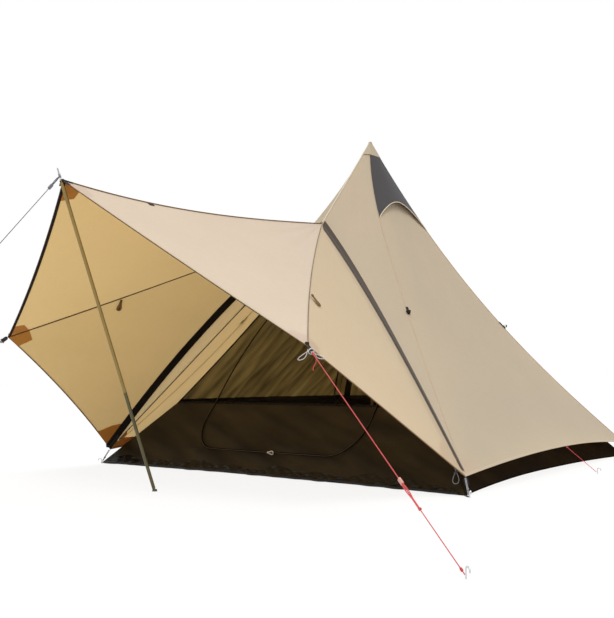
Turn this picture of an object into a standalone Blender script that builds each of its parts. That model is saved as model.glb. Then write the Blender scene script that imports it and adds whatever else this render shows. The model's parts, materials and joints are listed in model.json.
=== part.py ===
"""A one-pole pyramid sun shelter with a propped front awning, an inner tent and its guylines.

Metres, +Z up. The origin lies on the ground under the peak. The awning faces -Y, and
"right" is the side at +X. Every sewn panel is its own sheet between two edge curves.
"""

import math

import bmesh
import bpy
from mathutils import Matrix, Vector

# Fly: the outer pyramid
PEAK_HEIGHT = 2.56
PEAK_FORWARD = 0.04
HALF_WIDTH = 1.50
HEM_HEIGHT = 0.105
HIP_SAG = 0.235
HIP_SKEW = 0.6
FRONT_HIP_PULL = (-0.03, -0.037)
FRONT_LEFT_IN = (0.07, 0.03)
SIDE_HEM_RISE = 0.07
SIDE_HEM_PULL = 0.03
CLOTH = 0.002
SEAM_GAP = 0.003
PEAK_START = 0.02

# Awning: two roof halves and two wings, held out by the front pole
JUNCTION_FORWARD = 0.721
JUNCTION_HEIGHT = 1.778
TIP_FORWARD = 3.033
TIP_HEIGHT = 1.648
WING_OUT = 1.20
WING_FORWARD = 2.52
WING_HEIGHT_RIGHT = 0.78
WING_HEIGHT_LEFT = 0.90
RIDGE_SAG = 0.055
EYELET_MARGIN = 0.012

ROOF_START = 0.02
WING_START = 0.03

# Edge curves of the awning: how far each middle bows across, forward and up
SEAM_BOW = (-0.02, -0.025, -0.02)
FRONT_EDGE_BOW = (-0.02, 0.013, 0.0)
WING_HEM_BOW = (-0.06, 0.04, 0.035)
DOOR_EDGE_BOW = (-0.03, -0.02, 0.135)

# Vent hood, high on each side
HOOD_START = 0.022
HOOD_END = 0.207
HOOD_RIM_ARCH = 0.042
HOOD_BULGE = 0.04
HOOD_LIFT = 0.005
HOOD_SIDE_GAP = 0.006
VENT_START = 0.03
VENT_END = 0.118
SIDE_PANEL_START = 0.125

# Storm flap over each front seam: its width on the front panel, and its lap over the wing
FLAP_WIDTH_TOP = 0.046
FLAP_WIDTH_BOTTOM = 0.020
FLAP_LAP_TOP = 0.036
FLAP_LAP_BOTTOM = 0.012
FLAP_LAP_SHARE = 0.6
FLAP_LIFT = 0.0045
FLAP_START = 0.01
FLAP_END = 0.96

# Door zip: a coil along the strip's straight edge, and its slider
COIL_WIDTH = 0.005
COIL_THICK = 0.0035
STRIP_GAP = 0.007
STRIP_START = 0.06
STRIP_END = 0.96
SLIDER_LENGTH = 0.016
SLIDER_WALL = 0.002
SLIDER_FIT = 0.0008
SLIDER_PLACE = 0.36
PULL_LENGTH = 0.040
PULL_WIDTH = 0.008
PULL_THICK = 0.002
PULL_LAP = 0.004
PULL_SINK = 0.0004

# Inner tent
FLOOR_INSET = 0.002
FLOOR_THICK = 0.004
FLOOR_BOW_SIDES = 0.14
FLOOR_BOW_FRONT = 0.06
WALL_HEIGHT = 0.45
WALL_INSET = 0.40
INNER_DROP = 0.16
INNER_SAG = 0.12
INNER_START = 0.03
INNER_CLOTH = 0.002
STACK_GAP = 0.0005

# Door zip of the inner tent, a rounded D standing just off the mesh
INNER_DOOR_HALF = 0.70
INNER_DOOR_SILL = 0.15
INNER_DOOR_TOP = 1.50
INNER_DOOR_CORNER = 0.22
INNER_DOOR_OFF = 0.009
INNER_ZIP_RADIUS = 0.003
INNER_SLIDER_HALF_UP = 0.006
INNER_SLIDER_HALF_SIDE = 0.005
INNER_SLIDER_PLACE = 0.03

# Poles
CENTRE_RADIUS = 0.0125
AWNING_RADIUS = 0.0095
AWNING_FOOT_FORWARD = 2.35
TUBE_WALL = 0.0012
SPIGOT_DEPTH = 0.07
SPIGOT_ROOT = 0.01
FIT = 0.0004
SHOULDER = 0.012
SPIKE_RADIUS = 0.0035
SPIKE_LENGTH = 0.065
FOOT_RADIUS = 0.014
FOOT_THICK = 0.012
CUP_RADIUS = 0.019
CUP_HEIGHT = 0.085
CUP_SKIRT = 0.03
CUP_NECK = 0.012

# Pegs, corner webbing and lines
PEG_RADIUS = 0.003
PEG_HEIGHT = 0.040
PEG_HOOK = 0.011
PEG_TIP = 0.006
PEG_NOTCH = 0.012
PEG_SLACK = 0.002
CORNER_PEG_OUT = 0.045
TAB_WIDTH = 0.025
TAB_LENGTH = 0.055
TAB_THICK = 0.0025
LINE_RADIUS = 0.0015
ELASTIC_RADIUS = 0.002
ELASTIC_SLACK = 0.0008
GUY_SPREAD = (2.309, -3.186)
GUY_LEFT_RUN = (-1.11, -0.55, -0.80)
GUY_LEFT_LENGTH = 0.24
GUY_POLE_GROUND = 4.435
GUY_POLE_LENGTH = 0.62
GUY_POLE_SEAT = 0.02
END_LOOP_LENGTH = 0.055
END_LOOP_WIDTH = 0.020
SIDE_GUY_OUT = 0.24
RUNNER_LENGTH = 0.030
RUNNER_HALF_WIDTH = 0.008
RUNNER_HALF_THICK = 0.005
RUNNER_FIT = 0.0008
RUNNER_RIGHT_PLACE = 0.67
RUNNER_POLE_PLACE = 0.13

# Toggles that tie the rolled-up doors
TIE_PLACE = 0.67
TIE_LENGTH = 0.075
TIE_WIDTH = 0.010
TIE_DROP = 0.004
TIE_OFF = 0.016

# How finely the forms are cut
PANEL_ROWS = 14
PANEL_COLUMNS = 6
TUBE_SIDES = 16
CORNER_STEPS = 6
DOOR_ARCH_STEPS = 14
FLOOR_EDGE_STEPS = 8
LOOP_STEPS = 14
LOOP_WAVE_PEAK = 0.77

FLOOR_HALF = HALF_WIDTH - FLOOR_INSET
WALL_HALF = HALF_WIDTH - WALL_INSET
CENTRE_TOP = PEAK_HEIGHT - CUP_HEIGHT
PEAK = Vector((0, -PEAK_FORWARD, PEAK_HEIGHT))
JUNCTION = Vector((0, -JUNCTION_FORWARD, JUNCTION_HEIGHT))
TIP = Vector((0, -TIP_FORWARD, TIP_HEIGHT))
SIDES = (("right", 1), ("left", -1))


def clear_scene():
    for obj in list(bpy.data.objects):
        bpy.data.objects.remove(obj, do_unlink=True)


def material(name, colour, roughness, metallic=0.0):
    mat = bpy.data.materials.get(name)
    if mat is None:
        mat = bpy.data.materials.new(name)
        mat.use_nodes = True
        shader = mat.node_tree.nodes["Principled BSDF"]
        shader.inputs["Base Color"].default_value = (*colour, 1)
        shader.inputs["Roughness"].default_value = roughness
        shader.inputs["Metallic"].default_value = metallic
    return mat


FINISHES = {
    "fly_cloth": ((0.64, 0.50, 0.33), 0.85, 0.0),
    "awning_cloth": ((0.72, 0.60, 0.48), 0.85, 0.0),
    "dark_trim": ((0.09, 0.08, 0.075), 0.8, 0.0),
    "vent_cloth": ((0.08, 0.075, 0.08), 0.85, 0.0),
    "mesh_cloth": ((0.10, 0.075, 0.04), 0.9, 0.0),
    "inner_cloth": ((0.14, 0.10, 0.05), 0.9, 0.0),
    "floor_cloth": ((0.025, 0.018, 0.012), 0.7, 0.0),
    "pole_steel": ((0.20, 0.17, 0.09), 0.4, 1.0),
    "peg_steel": ((0.45, 0.45, 0.46), 0.35, 1.0),
    "black_plastic": ((0.02, 0.02, 0.02), 0.5, 0.0),
    "red_line": ((0.60, 0.06, 0.06), 0.7, 0.0),
    "grey_line": ((0.20, 0.20, 0.22), 0.7, 0.0),
}


def add_object(name, mesh, finish):
    obj = bpy.data.objects.new(name, mesh)
    obj.data.materials.append(material(finish, *FINISHES[finish]))
    bpy.context.scene.collection.objects.link(obj)
    return obj


def closed_object(name, bm, finish, smooth=True):
    """Turns a finished bmesh, facing out, into a named object."""
    bmesh.ops.recalc_face_normals(bm, faces=bm.faces)
    mesh = bpy.data.meshes.new(name)
    bm.to_mesh(mesh)
    bm.free()
    if smooth:
        mesh.shade_smooth()
        mesh.set_sharp_from_angle(angle=math.radians(35))
    return add_object(name, mesh, finish)


def bowed(start, end, bow=(0, 0, 0), skew=0.0):
    """An edge from start to end whose middle is moved by bow."""
    start, end, bow = Vector(start), Vector(end), Vector(bow)

    def at(t):
        return start.lerp(end, t) + bow * (4 * t * (1 - t) * (1 + skew * (0.5 - t)))

    return at


def mirrored_bow(bow, side):
    return Vector((bow[0] * side, bow[1], bow[2]))


def hip(across, forward):
    """The fly's corner edge from the peak down to the hem, slack like a hung rope."""
    slack = bowed(PEAK, fly_corner(across, forward), (0, 0, -HIP_SAG), HIP_SKEW)
    if forward > 0:
        return slack
    pull = Vector((FRONT_HIP_PULL[0] * across, FRONT_HIP_PULL[1], 0))

    def at(t):
        return slack(t) + pull * (high_bump(t))

    return at


def high_bump(t):
    """Rises to 1 at a sixth of the way down an edge and dies away below."""
    return t * (1 - t) ** 5 * 6 ** 6 / 5 ** 5


def fly_corner(across, forward):
    """A corner of the fly's hem. The front left one is pegged a little further in."""
    corner = Vector((across * HALF_WIDTH, forward * HALF_WIDTH, HEM_HEIGHT))
    if across < 0 and forward < 0:
        corner += Vector((*FRONT_LEFT_IN, 0))
    return corner


def inner_hip(across, forward):
    """The inner tent's corner edge from its peak down to the top of the dark wall."""
    top = Vector((0, -PEAK_FORWARD, PEAK_HEIGHT - INNER_DROP))
    corner = Vector((across * WALL_HALF, forward * WALL_HALF, WALL_HEIGHT))
    return bowed(top, corner, (0, 0, -INNER_SAG), HIP_SKEW)


def ruled_grid(left, right, start=0.0, end=1.0, hem_bow=(0, 0, 0),
               rows=PANEL_ROWS, columns=PANEL_COLUMNS, gap=SEAM_GAP):
    """Rows of points between two edge curves, kept a gap inside every edge."""
    hem_bow = Vector(hem_bow)
    length = (left(end) - left(start)).length
    first, last = start + gap / length, end - gap / length
    grid = []
    for row in range(rows + 1):
        t = first + (last - first) * row / rows
        a, b = left(t), right(t)
        span = (b - a).length
        inset = min(gap / span, 0.4) if span > 0 else 0.4
        line = []
        for column in range(columns + 1):
            v = inset + (1 - 2 * inset) * column / columns
            line.append(a.lerp(b, v) + hem_bow * (4 * v * (1 - v) * t * t))
        grid.append(line)
    return grid


def grid_normals(grid):
    normals = []
    rows, columns = len(grid), len(grid[0])
    for i in range(rows):
        line = []
        for j in range(columns):
            down = grid[min(i + 1, rows - 1)][j] - grid[max(i - 1, 0)][j]
            across = grid[i][min(j + 1, columns - 1)] - grid[i][max(j - 1, 0)]
            line.append(down.cross(across).normalized())
        normals.append(line)
    return normals


def sheet_from_grid(name, grid, finish, thick=CLOTH, edge_thick=None):
    """A closed cloth sheet round a grid of points. edge_thick fattens its last columns."""
    bm = bmesh.new()
    normals = grid_normals(grid)
    rows, columns = len(grid), len(grid[0])
    layers = []
    for sign in (1, -1):
        layer = []
        for i in range(rows):
            line = []
            for j in range(columns):
                depth = edge_thick if edge_thick and j >= columns - 2 else thick
                line.append(bm.verts.new(grid[i][j] + normals[i][j] * (sign * depth / 2)))
            layer.append(line)
        layers.append(layer)
    for layer in layers:
        for i in range(rows - 1):
            for j in range(columns - 1):
                bm.faces.new((layer[i][j], layer[i][j + 1], layer[i + 1][j + 1], layer[i + 1][j]))
    rim = [(0, j) for j in range(columns)] + [(i, columns - 1) for i in range(1, rows)]
    rim += [(rows - 1, j) for j in range(columns - 2, -1, -1)]
    rim += [(i, 0) for i in range(rows - 2, 0, -1)]
    for here, there in zip(rim, rim[1:] + rim[:1]):
        top, bottom = layers
        bm.faces.new((top[here[0]][here[1]], top[there[0]][there[1]],
                      bottom[there[0]][there[1]], bottom[here[0]][here[1]]))
    return closed_object(name, bm, finish)


def lifted(grid, distance, outward):
    """The same grid moved off its surface, towards the side that outward points to."""
    normals = grid_normals(grid)
    outward = Vector(outward)
    moved = []
    for line, line_normals in zip(grid, normals):
        moved.append([p + n * (distance if n.dot(outward) > 0 else -distance)
                      for p, n in zip(line, line_normals)])
    return moved


def make_fly():
    """Back panel, two side panels, and the two front panels beside the door."""
    rise = (0, SIDE_HEM_PULL, SIDE_HEM_RISE)
    grid = ruled_grid(hip(-1, 1), hip(1, 1), PEAK_START, 1, rise)
    sheet_from_grid("fly_back_panel", grid, "fly_cloth")
    for word, side in SIDES:
        pull = (SIDE_HEM_PULL * side, 0, SIDE_HEM_RISE)
        grid = ruled_grid(hip(side, -1), hip(side, 1), SIDE_PANEL_START, 1, pull)
        sheet_from_grid(f"fly_{word}_panel", grid, "fly_cloth")
        edge = door_edge(side)
        corner_up = hip(side, -1)
        grid = ruled_grid(lambda t: corner_up(1 - t), lambda t: edge(1 - t), 0, 1)
        sheet_from_grid(f"front_panel_{word}", trimmed_at_peak(grid), "fly_cloth")


def trimmed_at_peak(grid):
    """Keeps a front panel's last row clear of the pole's cup at the peak."""
    top, bottom = grid[-1][0], grid[-1][-1]
    grid[-1][0] = top + (bottom - top).normalized() * (CUP_RADIUS + SEAM_GAP)
    return grid


def outward_of(a, b, c, side):
    """The normal of the plane through three points, on the tent's outer side."""
    normal = (b - a).cross(c - a).normalized()
    return normal if normal.x * side > 0 else -normal


def door_edge(side):
    """The seam from the junction down to the front corner, where the wing joins."""
    return bowed(JUNCTION, fly_corner(side, -1), mirrored_bow(DOOR_EDGE_BOW, side))


def door_chord(side):
    """The straight line of the door zip, from the junction to the front corner."""
    return bowed(JUNCTION, fly_corner(side, -1))


def wing_corner(side):
    height = WING_HEIGHT_RIGHT if side > 0 else WING_HEIGHT_LEFT
    return Vector((side * WING_OUT, -WING_FORWARD, height))


def awning_seam(side):
    """The fold between roof and wing, from the junction out to the wing's corner."""
    return bowed(JUNCTION, wing_corner(side), mirrored_bow(SEAM_BOW, side))


def awning_ridge():
    cloth_tip = TIP + (JUNCTION - TIP).normalized() * EYELET_MARGIN
    return bowed(JUNCTION, cloth_tip, (0, 0, -RIDGE_SAG), -HIP_SKEW)


def make_awning():
    for word, side in SIDES:
        front_bow = mirrored_bow(FRONT_EDGE_BOW, side)
        grid = ruled_grid(awning_ridge(), awning_seam(side), ROOF_START, 1, front_bow)
        sheet_from_grid(f"awning_roof_{word}", grid, "awning_cloth")
        hem_bow = mirrored_bow(WING_HEM_BOW, side)
        grid = ruled_grid(awning_seam(side), door_edge(side), WING_START, 1, hem_bow)
        sheet_from_grid(f"awning_wing_{word}", grid, "awning_cloth")


def make_door_strips():
    """The strip between the bowed seam and the straight zip, coil included."""
    for word, side in SIDES:
        edge, chord = door_edge(side), door_chord(side)
        grid = []
        for row in range(PANEL_ROWS + 1):
            t = STRIP_START + (STRIP_END - STRIP_START) * row / PANEL_ROWS
            outer, inner = edge(t), chord(t)
            toward = (inner - outer).normalized()
            line = [outer + toward * STRIP_GAP]
            line.append(inner - toward * (COIL_WIDTH + CLOTH))
            line.append(inner - toward * COIL_WIDTH)
            line.append(inner)
            grid.append(line)
        sheet_from_grid(f"door_strip_{word}", grid, "fly_cloth", edge_thick=COIL_THICK)


def make_storm_flaps():
    """A dark tapering flap over each door seam, lifted off the panels on both sides of it."""
    for word, side in SIDES:
        edge, corner_edge, seam = door_edge(side), hip(side, -1), awning_seam(side)
        outward = outward_of(PEAK, JUNCTION, edge(1), side)
        rows = 2 * PANEL_ROWS
        grid = []
        for row in range(rows + 1):
            t = FLAP_START + (FLAP_END - FLAP_START) * row / rows
            width = FLAP_WIDTH_TOP + (FLAP_WIDTH_BOTTOM - FLAP_WIDTH_TOP) * t
            here = edge(t)
            toward = (corner_edge(t) - here).normalized()
            wing = seam(t) - here
            lap = FLAP_LAP_TOP + (FLAP_LAP_BOTTOM - FLAP_LAP_TOP) * t
            lap = min(lap, FLAP_LAP_SHARE * wing.length)
            grid.append([here + wing.normalized() * lap, here, here + toward * (width / 2),
                         here + toward * width])
        sheet_from_grid(f"storm_flap_{word}", lifted(grid, FLAP_LIFT, outward), "dark_trim")


def make_vents():
    """A hood that arches off each side face, over a panel of mesh."""
    for word, side in SIDES:
        front, back = hip(side, -1), hip(side, 1)
        outward = outward_of(PEAK, front(1), back(1), side)
        grid = ruled_grid(front, back, VENT_START, VENT_END, rows=4, columns=4)
        sheet_from_grid(f"vent_mesh_{word}", grid, "mesh_cloth")
        grid = hood_grid(front, back, outward)
        sheet_from_grid(f"vent_hood_{word}", grid, "vent_cloth")


def hood_grid(front, back, outward):
    """A hood laid over both hips, whose lower rim is cut in an arch and stands off."""
    rows, columns = 8, 12
    grid = []
    for row in range(rows + 1):
        line = []
        for column in range(columns + 1):
            v = column / columns
            arch = math.sin(math.pi * v)
            t = HOOD_START + (HOOD_END - HOOD_RIM_ARCH * arch - HOOD_START) * row / rows
            a, b = front(t), back(t)
            inset = HOOD_SIDE_GAP / (b - a).length
            point = a.lerp(b, inset + (1 - 2 * inset) * v)
            line.append(point + outward * (HOOD_LIFT + HOOD_BULGE * arch * row / rows))
        grid.append(line)
    return grid


def zip_frame(side):
    """Directions down the zip, from its coil to the strip, and across both."""
    down = (door_chord(side)(1) - door_chord(side)(0)).normalized()
    bow = mirrored_bow(DOOR_EDGE_BOW, side)
    into = (bow - down * bow.dot(down)).normalized()
    return down, into, down.cross(into)


def extruded(bm, outline, origin, axis_u, axis_v, axis_w, length):
    """A prism of a flat outline in u and v, centred on origin along w."""
    rings = []
    for sign in (-0.5, 0.5):
        base = origin + axis_w * (sign * length)
        rings.append([bm.verts.new(base + axis_u * u + axis_v * v) for u, v in outline])
    bm.faces.new(rings[0])
    bm.faces.new(rings[1])
    for k in range(len(outline)):
        n = (k + 1) % len(outline)
        bm.faces.new((rings[0][k], rings[0][n], rings[1][n], rings[1][k]))


def joined_by_union(name, body_mesh, helper_mesh, finish):
    """One body from two overlapping closed meshes."""
    body = add_object(name, body_mesh, finish)
    helper = add_object(f"{name}_helper", helper_mesh, finish)
    helper.hide_render = True
    helper.display_type = "WIRE"
    union = body.modifiers.new("union", "BOOLEAN")
    union.operation = "UNION"
    union.object = helper
    return body


def origin_on(obj, point):
    """Puts a moving piece's origin on its joint's axis, with its shape where it was."""
    obj.data.transform(Matrix.Translation(-point))
    obj.location = point


def prism_mesh(name, outline, origin, axis_u, axis_v, axis_w, length):
    bm = bmesh.new()
    extruded(bm, outline, origin, axis_u, axis_v, axis_w, length)
    bmesh.ops.recalc_face_normals(bm, faces=bm.faces)
    mesh = bpy.data.meshes.new(name)
    bm.to_mesh(mesh)
    bm.free()
    return mesh


def slider_place(side):
    return door_chord(side)(SLIDER_PLACE)


def make_door_sliders():
    """A channel that wraps the coil and leaves a slot for the cloth, with a pull on it."""
    inside = COIL_THICK / 2 + SLIDER_FIT
    slot = CLOTH / 2 + SLIDER_FIT
    far = COIL_WIDTH + SLIDER_FIT
    wall = SLIDER_WALL
    channel = [(-SLIDER_FIT - wall, -inside - wall), (far + wall, -inside - wall),
               (far + wall, -slot), (far, -slot), (far, -inside), (-SLIDER_FIT, -inside),
               (-SLIDER_FIT, inside), (far, inside), (far, slot), (far + wall, slot),
               (far + wall, inside + wall), (-SLIDER_FIT - wall, inside + wall)]
    for word, side in SIDES:
        down, into, across = zip_frame(side)
        front = across if across.y < 0 else -across
        origin = slider_place(side)
        body = prism_mesh("channel", channel, origin, into, front, down, SLIDER_LENGTH)
        middle = origin + into * (COIL_WIDTH / 2) + down * (PULL_LENGTH / 2 - PULL_LAP)
        middle += front * (inside + wall + PULL_THICK / 2 - PULL_SINK)
        half_w, half_t = PULL_WIDTH / 2, PULL_THICK / 2
        box = [(-half_w, -half_t), (half_w, -half_t), (half_w, half_t), (-half_w, half_t)]
        pull = prism_mesh("pull", box, middle, into, front, down, PULL_LENGTH)
        slider = joined_by_union(f"door_slider_{word}", body, pull, "black_plastic")
        origin_on(slider, origin)


def floor_outline():
    """The floor's edge, drawn in along each side between its pegged corners."""
    points = []
    corners = [(-1, -1), (1, -1), (1, 1), (-1, 1)]
    for k, (ax, ay) in enumerate(corners):
        bx, by = corners[(k + 1) % 4]
        depth = FLOOR_BOW_FRONT if k == 0 else FLOOR_BOW_SIDES
        inward = Vector((-(ax + bx) / 2, -(ay + by) / 2, 0)) * depth
        edge = bowed((ax * FLOOR_HALF, ay * FLOOR_HALF, 0), (bx * FLOOR_HALF, by * FLOOR_HALF, 0),
                     inward)
        points += [edge(i / FLOOR_EDGE_STEPS) for i in range(FLOOR_EDGE_STEPS)]
    return points


def make_floor():
    bm = bmesh.new()
    low = [bm.verts.new(p) for p in floor_outline()]
    high = [bm.verts.new(p + Vector((0, 0, FLOOR_THICK))) for p in floor_outline()]
    bm.faces.new(low)
    bm.faces.new(high)
    for k in range(len(low)):
        n = (k + 1) % len(low)
        bm.faces.new((low[k], low[n], high[n], high[k]))
    closed_object("groundsheet", bm, "floor_cloth", smooth=False)


def make_inner_side(name, corner_a, corner_b, bow_in, upper_name, upper_finish):
    """One face of the inner tent: a dark lower wall and the cloth or mesh above it."""
    lift = FLOOR_THICK + STACK_GAP + INNER_CLOTH
    inward = Vector((-(corner_a[0] + corner_b[0]) / 2, -(corner_a[1] + corner_b[1]) / 2, 0))
    reach = FLOOR_HALF - 2 * SEAM_GAP
    edges = []
    for across, forward in (corner_a, corner_b):
        top = (across * WALL_HALF, forward * WALL_HALF, WALL_HEIGHT)
        edges.append(bowed(top, (across * reach, forward * reach, lift)))
    grid = ruled_grid(edges[0], edges[1], 0, 1, inward * bow_in, rows=5, columns=8)
    sheet_from_grid(name, grid, "floor_cloth", INNER_CLOTH)
    grid = ruled_grid(inner_hip(*corner_a), inner_hip(*corner_b), INNER_START, 1)
    sheet_from_grid(upper_name, grid, upper_finish, INNER_CLOTH)


def make_inner_tent():
    make_floor()
    faces = [("front", (-1, -1), (1, -1), FLOOR_BOW_FRONT, "inner_front_mesh", "mesh_cloth"),
             ("right", (1, -1), (1, 1), FLOOR_BOW_SIDES, "inner_right_panel", "inner_cloth"),
             ("back", (1, 1), (-1, 1), FLOOR_BOW_SIDES, "inner_back_panel", "inner_cloth"),
             ("left", (-1, 1), (-1, -1), FLOOR_BOW_SIDES, "inner_left_panel", "inner_cloth")]
    for word, corner_a, corner_b, bow_in, upper, finish in faces:
        make_inner_side(f"inner_{word}_wall", corner_a, corner_b, bow_in, upper, finish)


def inner_front_forward(height):
    """How far forward the inner front stands at a height above the floor."""
    if height <= WALL_HEIGHT:
        share = height / WALL_HEIGHT
        return FLOOR_HALF + (WALL_HALF - FLOOR_HALF) * share
    edge = inner_hip(1, -1)
    low, high = 0.0, 1.0
    for _ in range(40):
        middle = (low + high) / 2
        if edge(middle).z > height:
            low = middle
        else:
            high = middle
    return -edge(low).y


def on_inner_front(across, height):
    return Vector((across, -inner_front_forward(height) - INNER_DOOR_OFF, height))


def inner_zip_points():
    """The D-shaped zip: a straight sill, rounded lower corners and an arched top."""
    sill, half, corner = INNER_DOOR_SILL, INNER_DOOR_HALF, INNER_DOOR_CORNER
    points = [on_inner_front(x * (half - corner) / 4, sill) for x in range(-4, 4)]
    for k in range(CORNER_STEPS):
        angle = math.pi / 2 * k / CORNER_STEPS
        points.append(on_inner_front(half - corner + corner * math.sin(angle),
                                     sill + corner * (1 - math.cos(angle))))
    low, high = sill + corner, INNER_DOOR_TOP
    for k in range(DOOR_ARCH_STEPS):
        angle = math.pi * k / DOOR_ARCH_STEPS
        points.append(on_inner_front(half * math.cos(angle), low + (high - low) * math.sin(angle)))
    for k in range(CORNER_STEPS):
        angle = math.pi / 2 * (1 - k / CORNER_STEPS)
        points.append(on_inner_front(-half + corner - corner * math.sin(angle),
                                     sill + corner * (1 - math.cos(angle))))
    return points


def tube_along(name, points, radius, finish, cyclic=False, resolution=2):
    """A round tube with capped ends along a list of points."""
    curve = bpy.data.curves.new(name, "CURVE")
    curve.dimensions = "3D"
    curve.bevel_depth = radius
    curve.bevel_resolution = resolution
    curve.use_fill_caps = True
    spline = curve.splines.new("POLY")
    spline.points.add(len(points) - 1)
    for place, point in zip(spline.points, points):
        place.co = (*point, 1)
    spline.use_cyclic_u = cyclic
    return add_object(name, curve, finish)


def make_inner_zip():
    tube_along("inner_door_zip", inner_zip_points(), INNER_ZIP_RADIUS, "black_plastic", True, 1)
    centre = on_inner_front(INNER_SLIDER_PLACE, INNER_DOOR_SILL)
    slider = bored_block("inner_door_slider", centre, Vector((1, 0, 0)), SLIDER_LENGTH,
                         INNER_SLIDER_HALF_UP, INNER_SLIDER_HALF_SIDE,
                         INNER_ZIP_RADIUS + SLIDER_FIT)
    origin_on(slider, centre)


def bored_block(name, centre, axis, length, half_up, half_side, bore):
    """A rounded block with a round bore along its axis."""
    side = axis.cross(Vector((0, 0, 1))).normalized()
    up = side.cross(axis).normalized()
    bm = bmesh.new()
    rings = []
    for sign in (-0.5, 0.5):
        base = centre + axis * (sign * length)
        outer, inner = [], []
        for k in range(TUBE_SIDES):
            angle = 2 * math.pi * (k + 0.5) / TUBE_SIDES
            c, s = math.cos(angle), math.sin(angle)
            stretch = 1 / (abs(c) ** 4 + abs(s) ** 4) ** 0.25
            outer.append(bm.verts.new(base + up * (half_up * c * stretch)
                                      + side * (half_side * s * stretch)))
            inner.append(bm.verts.new(base + up * (bore * c) + side * (bore * s)))
        rings.append((outer, inner))
    for k in range(TUBE_SIDES):
        n = (k + 1) % TUBE_SIDES
        for outer, inner in rings:
            bm.faces.new((outer[k], outer[n], inner[n], inner[k]))
        for ring in (0, 1):
            bm.faces.new((rings[0][ring][k], rings[0][ring][n],
                          rings[1][ring][n], rings[1][ring][k]))
    return closed_object(name, bm, "black_plastic")


def lathed(name, profile, finish, base=(0, 0, 0), direction=(0, 0, 1), closed=True):
    """Turns a profile of (radius, height) round an axis through base."""
    bm = bmesh.new()
    turn = Vector((0, 0, 1)).rotation_difference(Vector(direction).normalized())
    matrix = Matrix.Translation(Vector(base)) @ turn.to_matrix().to_4x4()
    rings = []
    for radius, height in profile:
        if radius < 1e-6:
            rings.append([bm.verts.new(matrix @ Vector((0, 0, height)))])
            continue
        ring = []
        for k in range(TUBE_SIDES):
            angle = 2 * math.pi * k / TUBE_SIDES
            ring.append(bm.verts.new(matrix @ Vector((radius * math.cos(angle),
                                                      radius * math.sin(angle), height))))
        rings.append(ring)
    pairs = list(zip(rings, rings[1:]))
    if closed:
        pairs.append((rings[-1], rings[0]))
    for a, b in pairs:
        for k in range(TUBE_SIDES):
            n = (k + 1) % TUBE_SIDES
            corners = [a[k % len(a)], a[n % len(a)], b[n % len(b)], b[k % len(b)]]
            unique = list(dict.fromkeys(corners))
            if len(unique) > 2:
                bm.faces.new(unique)
    return closed_object(name, bm, finish)


def tube_profile(outer, start, end, has_spigot):
    """A hollow section, whose upper end narrows to a spigot for the next one."""
    inner = outer - TUBE_WALL
    if not has_spigot:
        return [(outer, start), (outer, end), (inner, end), (inner, start)]
    neck_outer = inner - FIT
    neck_inner = neck_outer - TUBE_WALL
    top = end + SPIGOT_DEPTH
    return [(outer, start), (outer, end), (neck_outer, end), (neck_outer, top),
            (neck_inner, top), (neck_inner, end - SPIGOT_ROOT),
            (inner, end - 2 * SPIGOT_ROOT), (inner, start)]


def make_centre_pole():
    start = FLOOR_THICK + STACK_GAP
    axis = (0, -PEAK_FORWARD, 0)
    third = (CENTRE_TOP - start) / 3
    for k, word in enumerate(("lower", "middle", "upper")):
        low = start + third * k + (STACK_GAP if k else 0)
        high = start + third * (k + 1)
        profile = tube_profile(CENTRE_RADIUS, low, high, k < 2)
        lathed(f"centre_pole_{word}", profile, "pole_steel", axis)
    cup = [(0, CENTRE_TOP + STACK_GAP), (CUP_RADIUS, CENTRE_TOP + STACK_GAP),
           (CUP_RADIUS, CENTRE_TOP + CUP_SKIRT), (CUP_RADIUS * 0.6, PEAK_HEIGHT - CUP_NECK),
           (0, PEAK_HEIGHT)]
    lathed("peak_cup", cup, "dark_trim", axis, closed=False)


def awning_pole_line():
    foot = Vector((0, -AWNING_FOOT_FORWARD, 0))
    return foot, (TIP - foot).normalized(), (TIP - foot).length


def make_awning_pole():
    foot, direction, length = awning_pole_line()
    tilt_rise = AWNING_RADIUS * math.hypot(direction.x, direction.y)
    start = (FOOT_THICK + tilt_rise + STACK_GAP) / direction.z
    end = length - SHOULDER
    third = (end - start) / 3
    for k, word in enumerate(("lower", "middle")):
        low = start + third * k + (STACK_GAP if k else 0)
        profile = tube_profile(AWNING_RADIUS, low, start + third * (k + 1), True)
        lathed(f"awning_pole_{word}", profile, "pole_steel", foot, direction)
    low, inner = start + 2 * third + STACK_GAP, AWNING_RADIUS - TUBE_WALL
    spike = length + SPIKE_LENGTH
    upper = [(0, end - 2 * SPIGOT_ROOT), (inner, end - 3 * SPIGOT_ROOT), (inner, low),
             (AWNING_RADIUS, low), (AWNING_RADIUS, end - SHOULDER / 2),
             (AWNING_RADIUS * 0.8, end), (SPIKE_RADIUS, end),
             (SPIKE_RADIUS, spike - SPIKE_RADIUS), (0, spike)]
    lathed("awning_pole_upper", upper, "pole_steel", foot, direction, closed=False)
    base = [(0, 0), (FOOT_RADIUS, 0), (FOOT_RADIUS, FOOT_THICK * 0.5),
            (FOOT_RADIUS * 0.8, FOOT_THICK), (0, FOOT_THICK)]
    lathed("awning_pole_foot", base, "black_plastic", foot, closed=False)


def make_peg(name, place, away):
    """The part of a hooked peg that stands above the ground."""
    away = Vector((away[0], away[1], 0)).normalized()
    place = Vector((place[0], place[1], 0))
    neck = PEG_HEIGHT - PEG_HOOK
    points = [place, place + Vector((0, 0, neck / 2)), place + Vector((0, 0, neck))]
    centre = place + away * PEG_HOOK + Vector((0, 0, neck))
    for k in range(1, 8):
        angle = math.pi * k / 7
        points.append(centre - away * (PEG_HOOK * math.cos(angle))
                      + Vector((0, 0, PEG_HOOK * math.sin(angle))))
    points.append(points[-1] - Vector((0, 0, PEG_TIP)))
    tube_along(name, points, PEG_RADIUS, "peg_steel")


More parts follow.
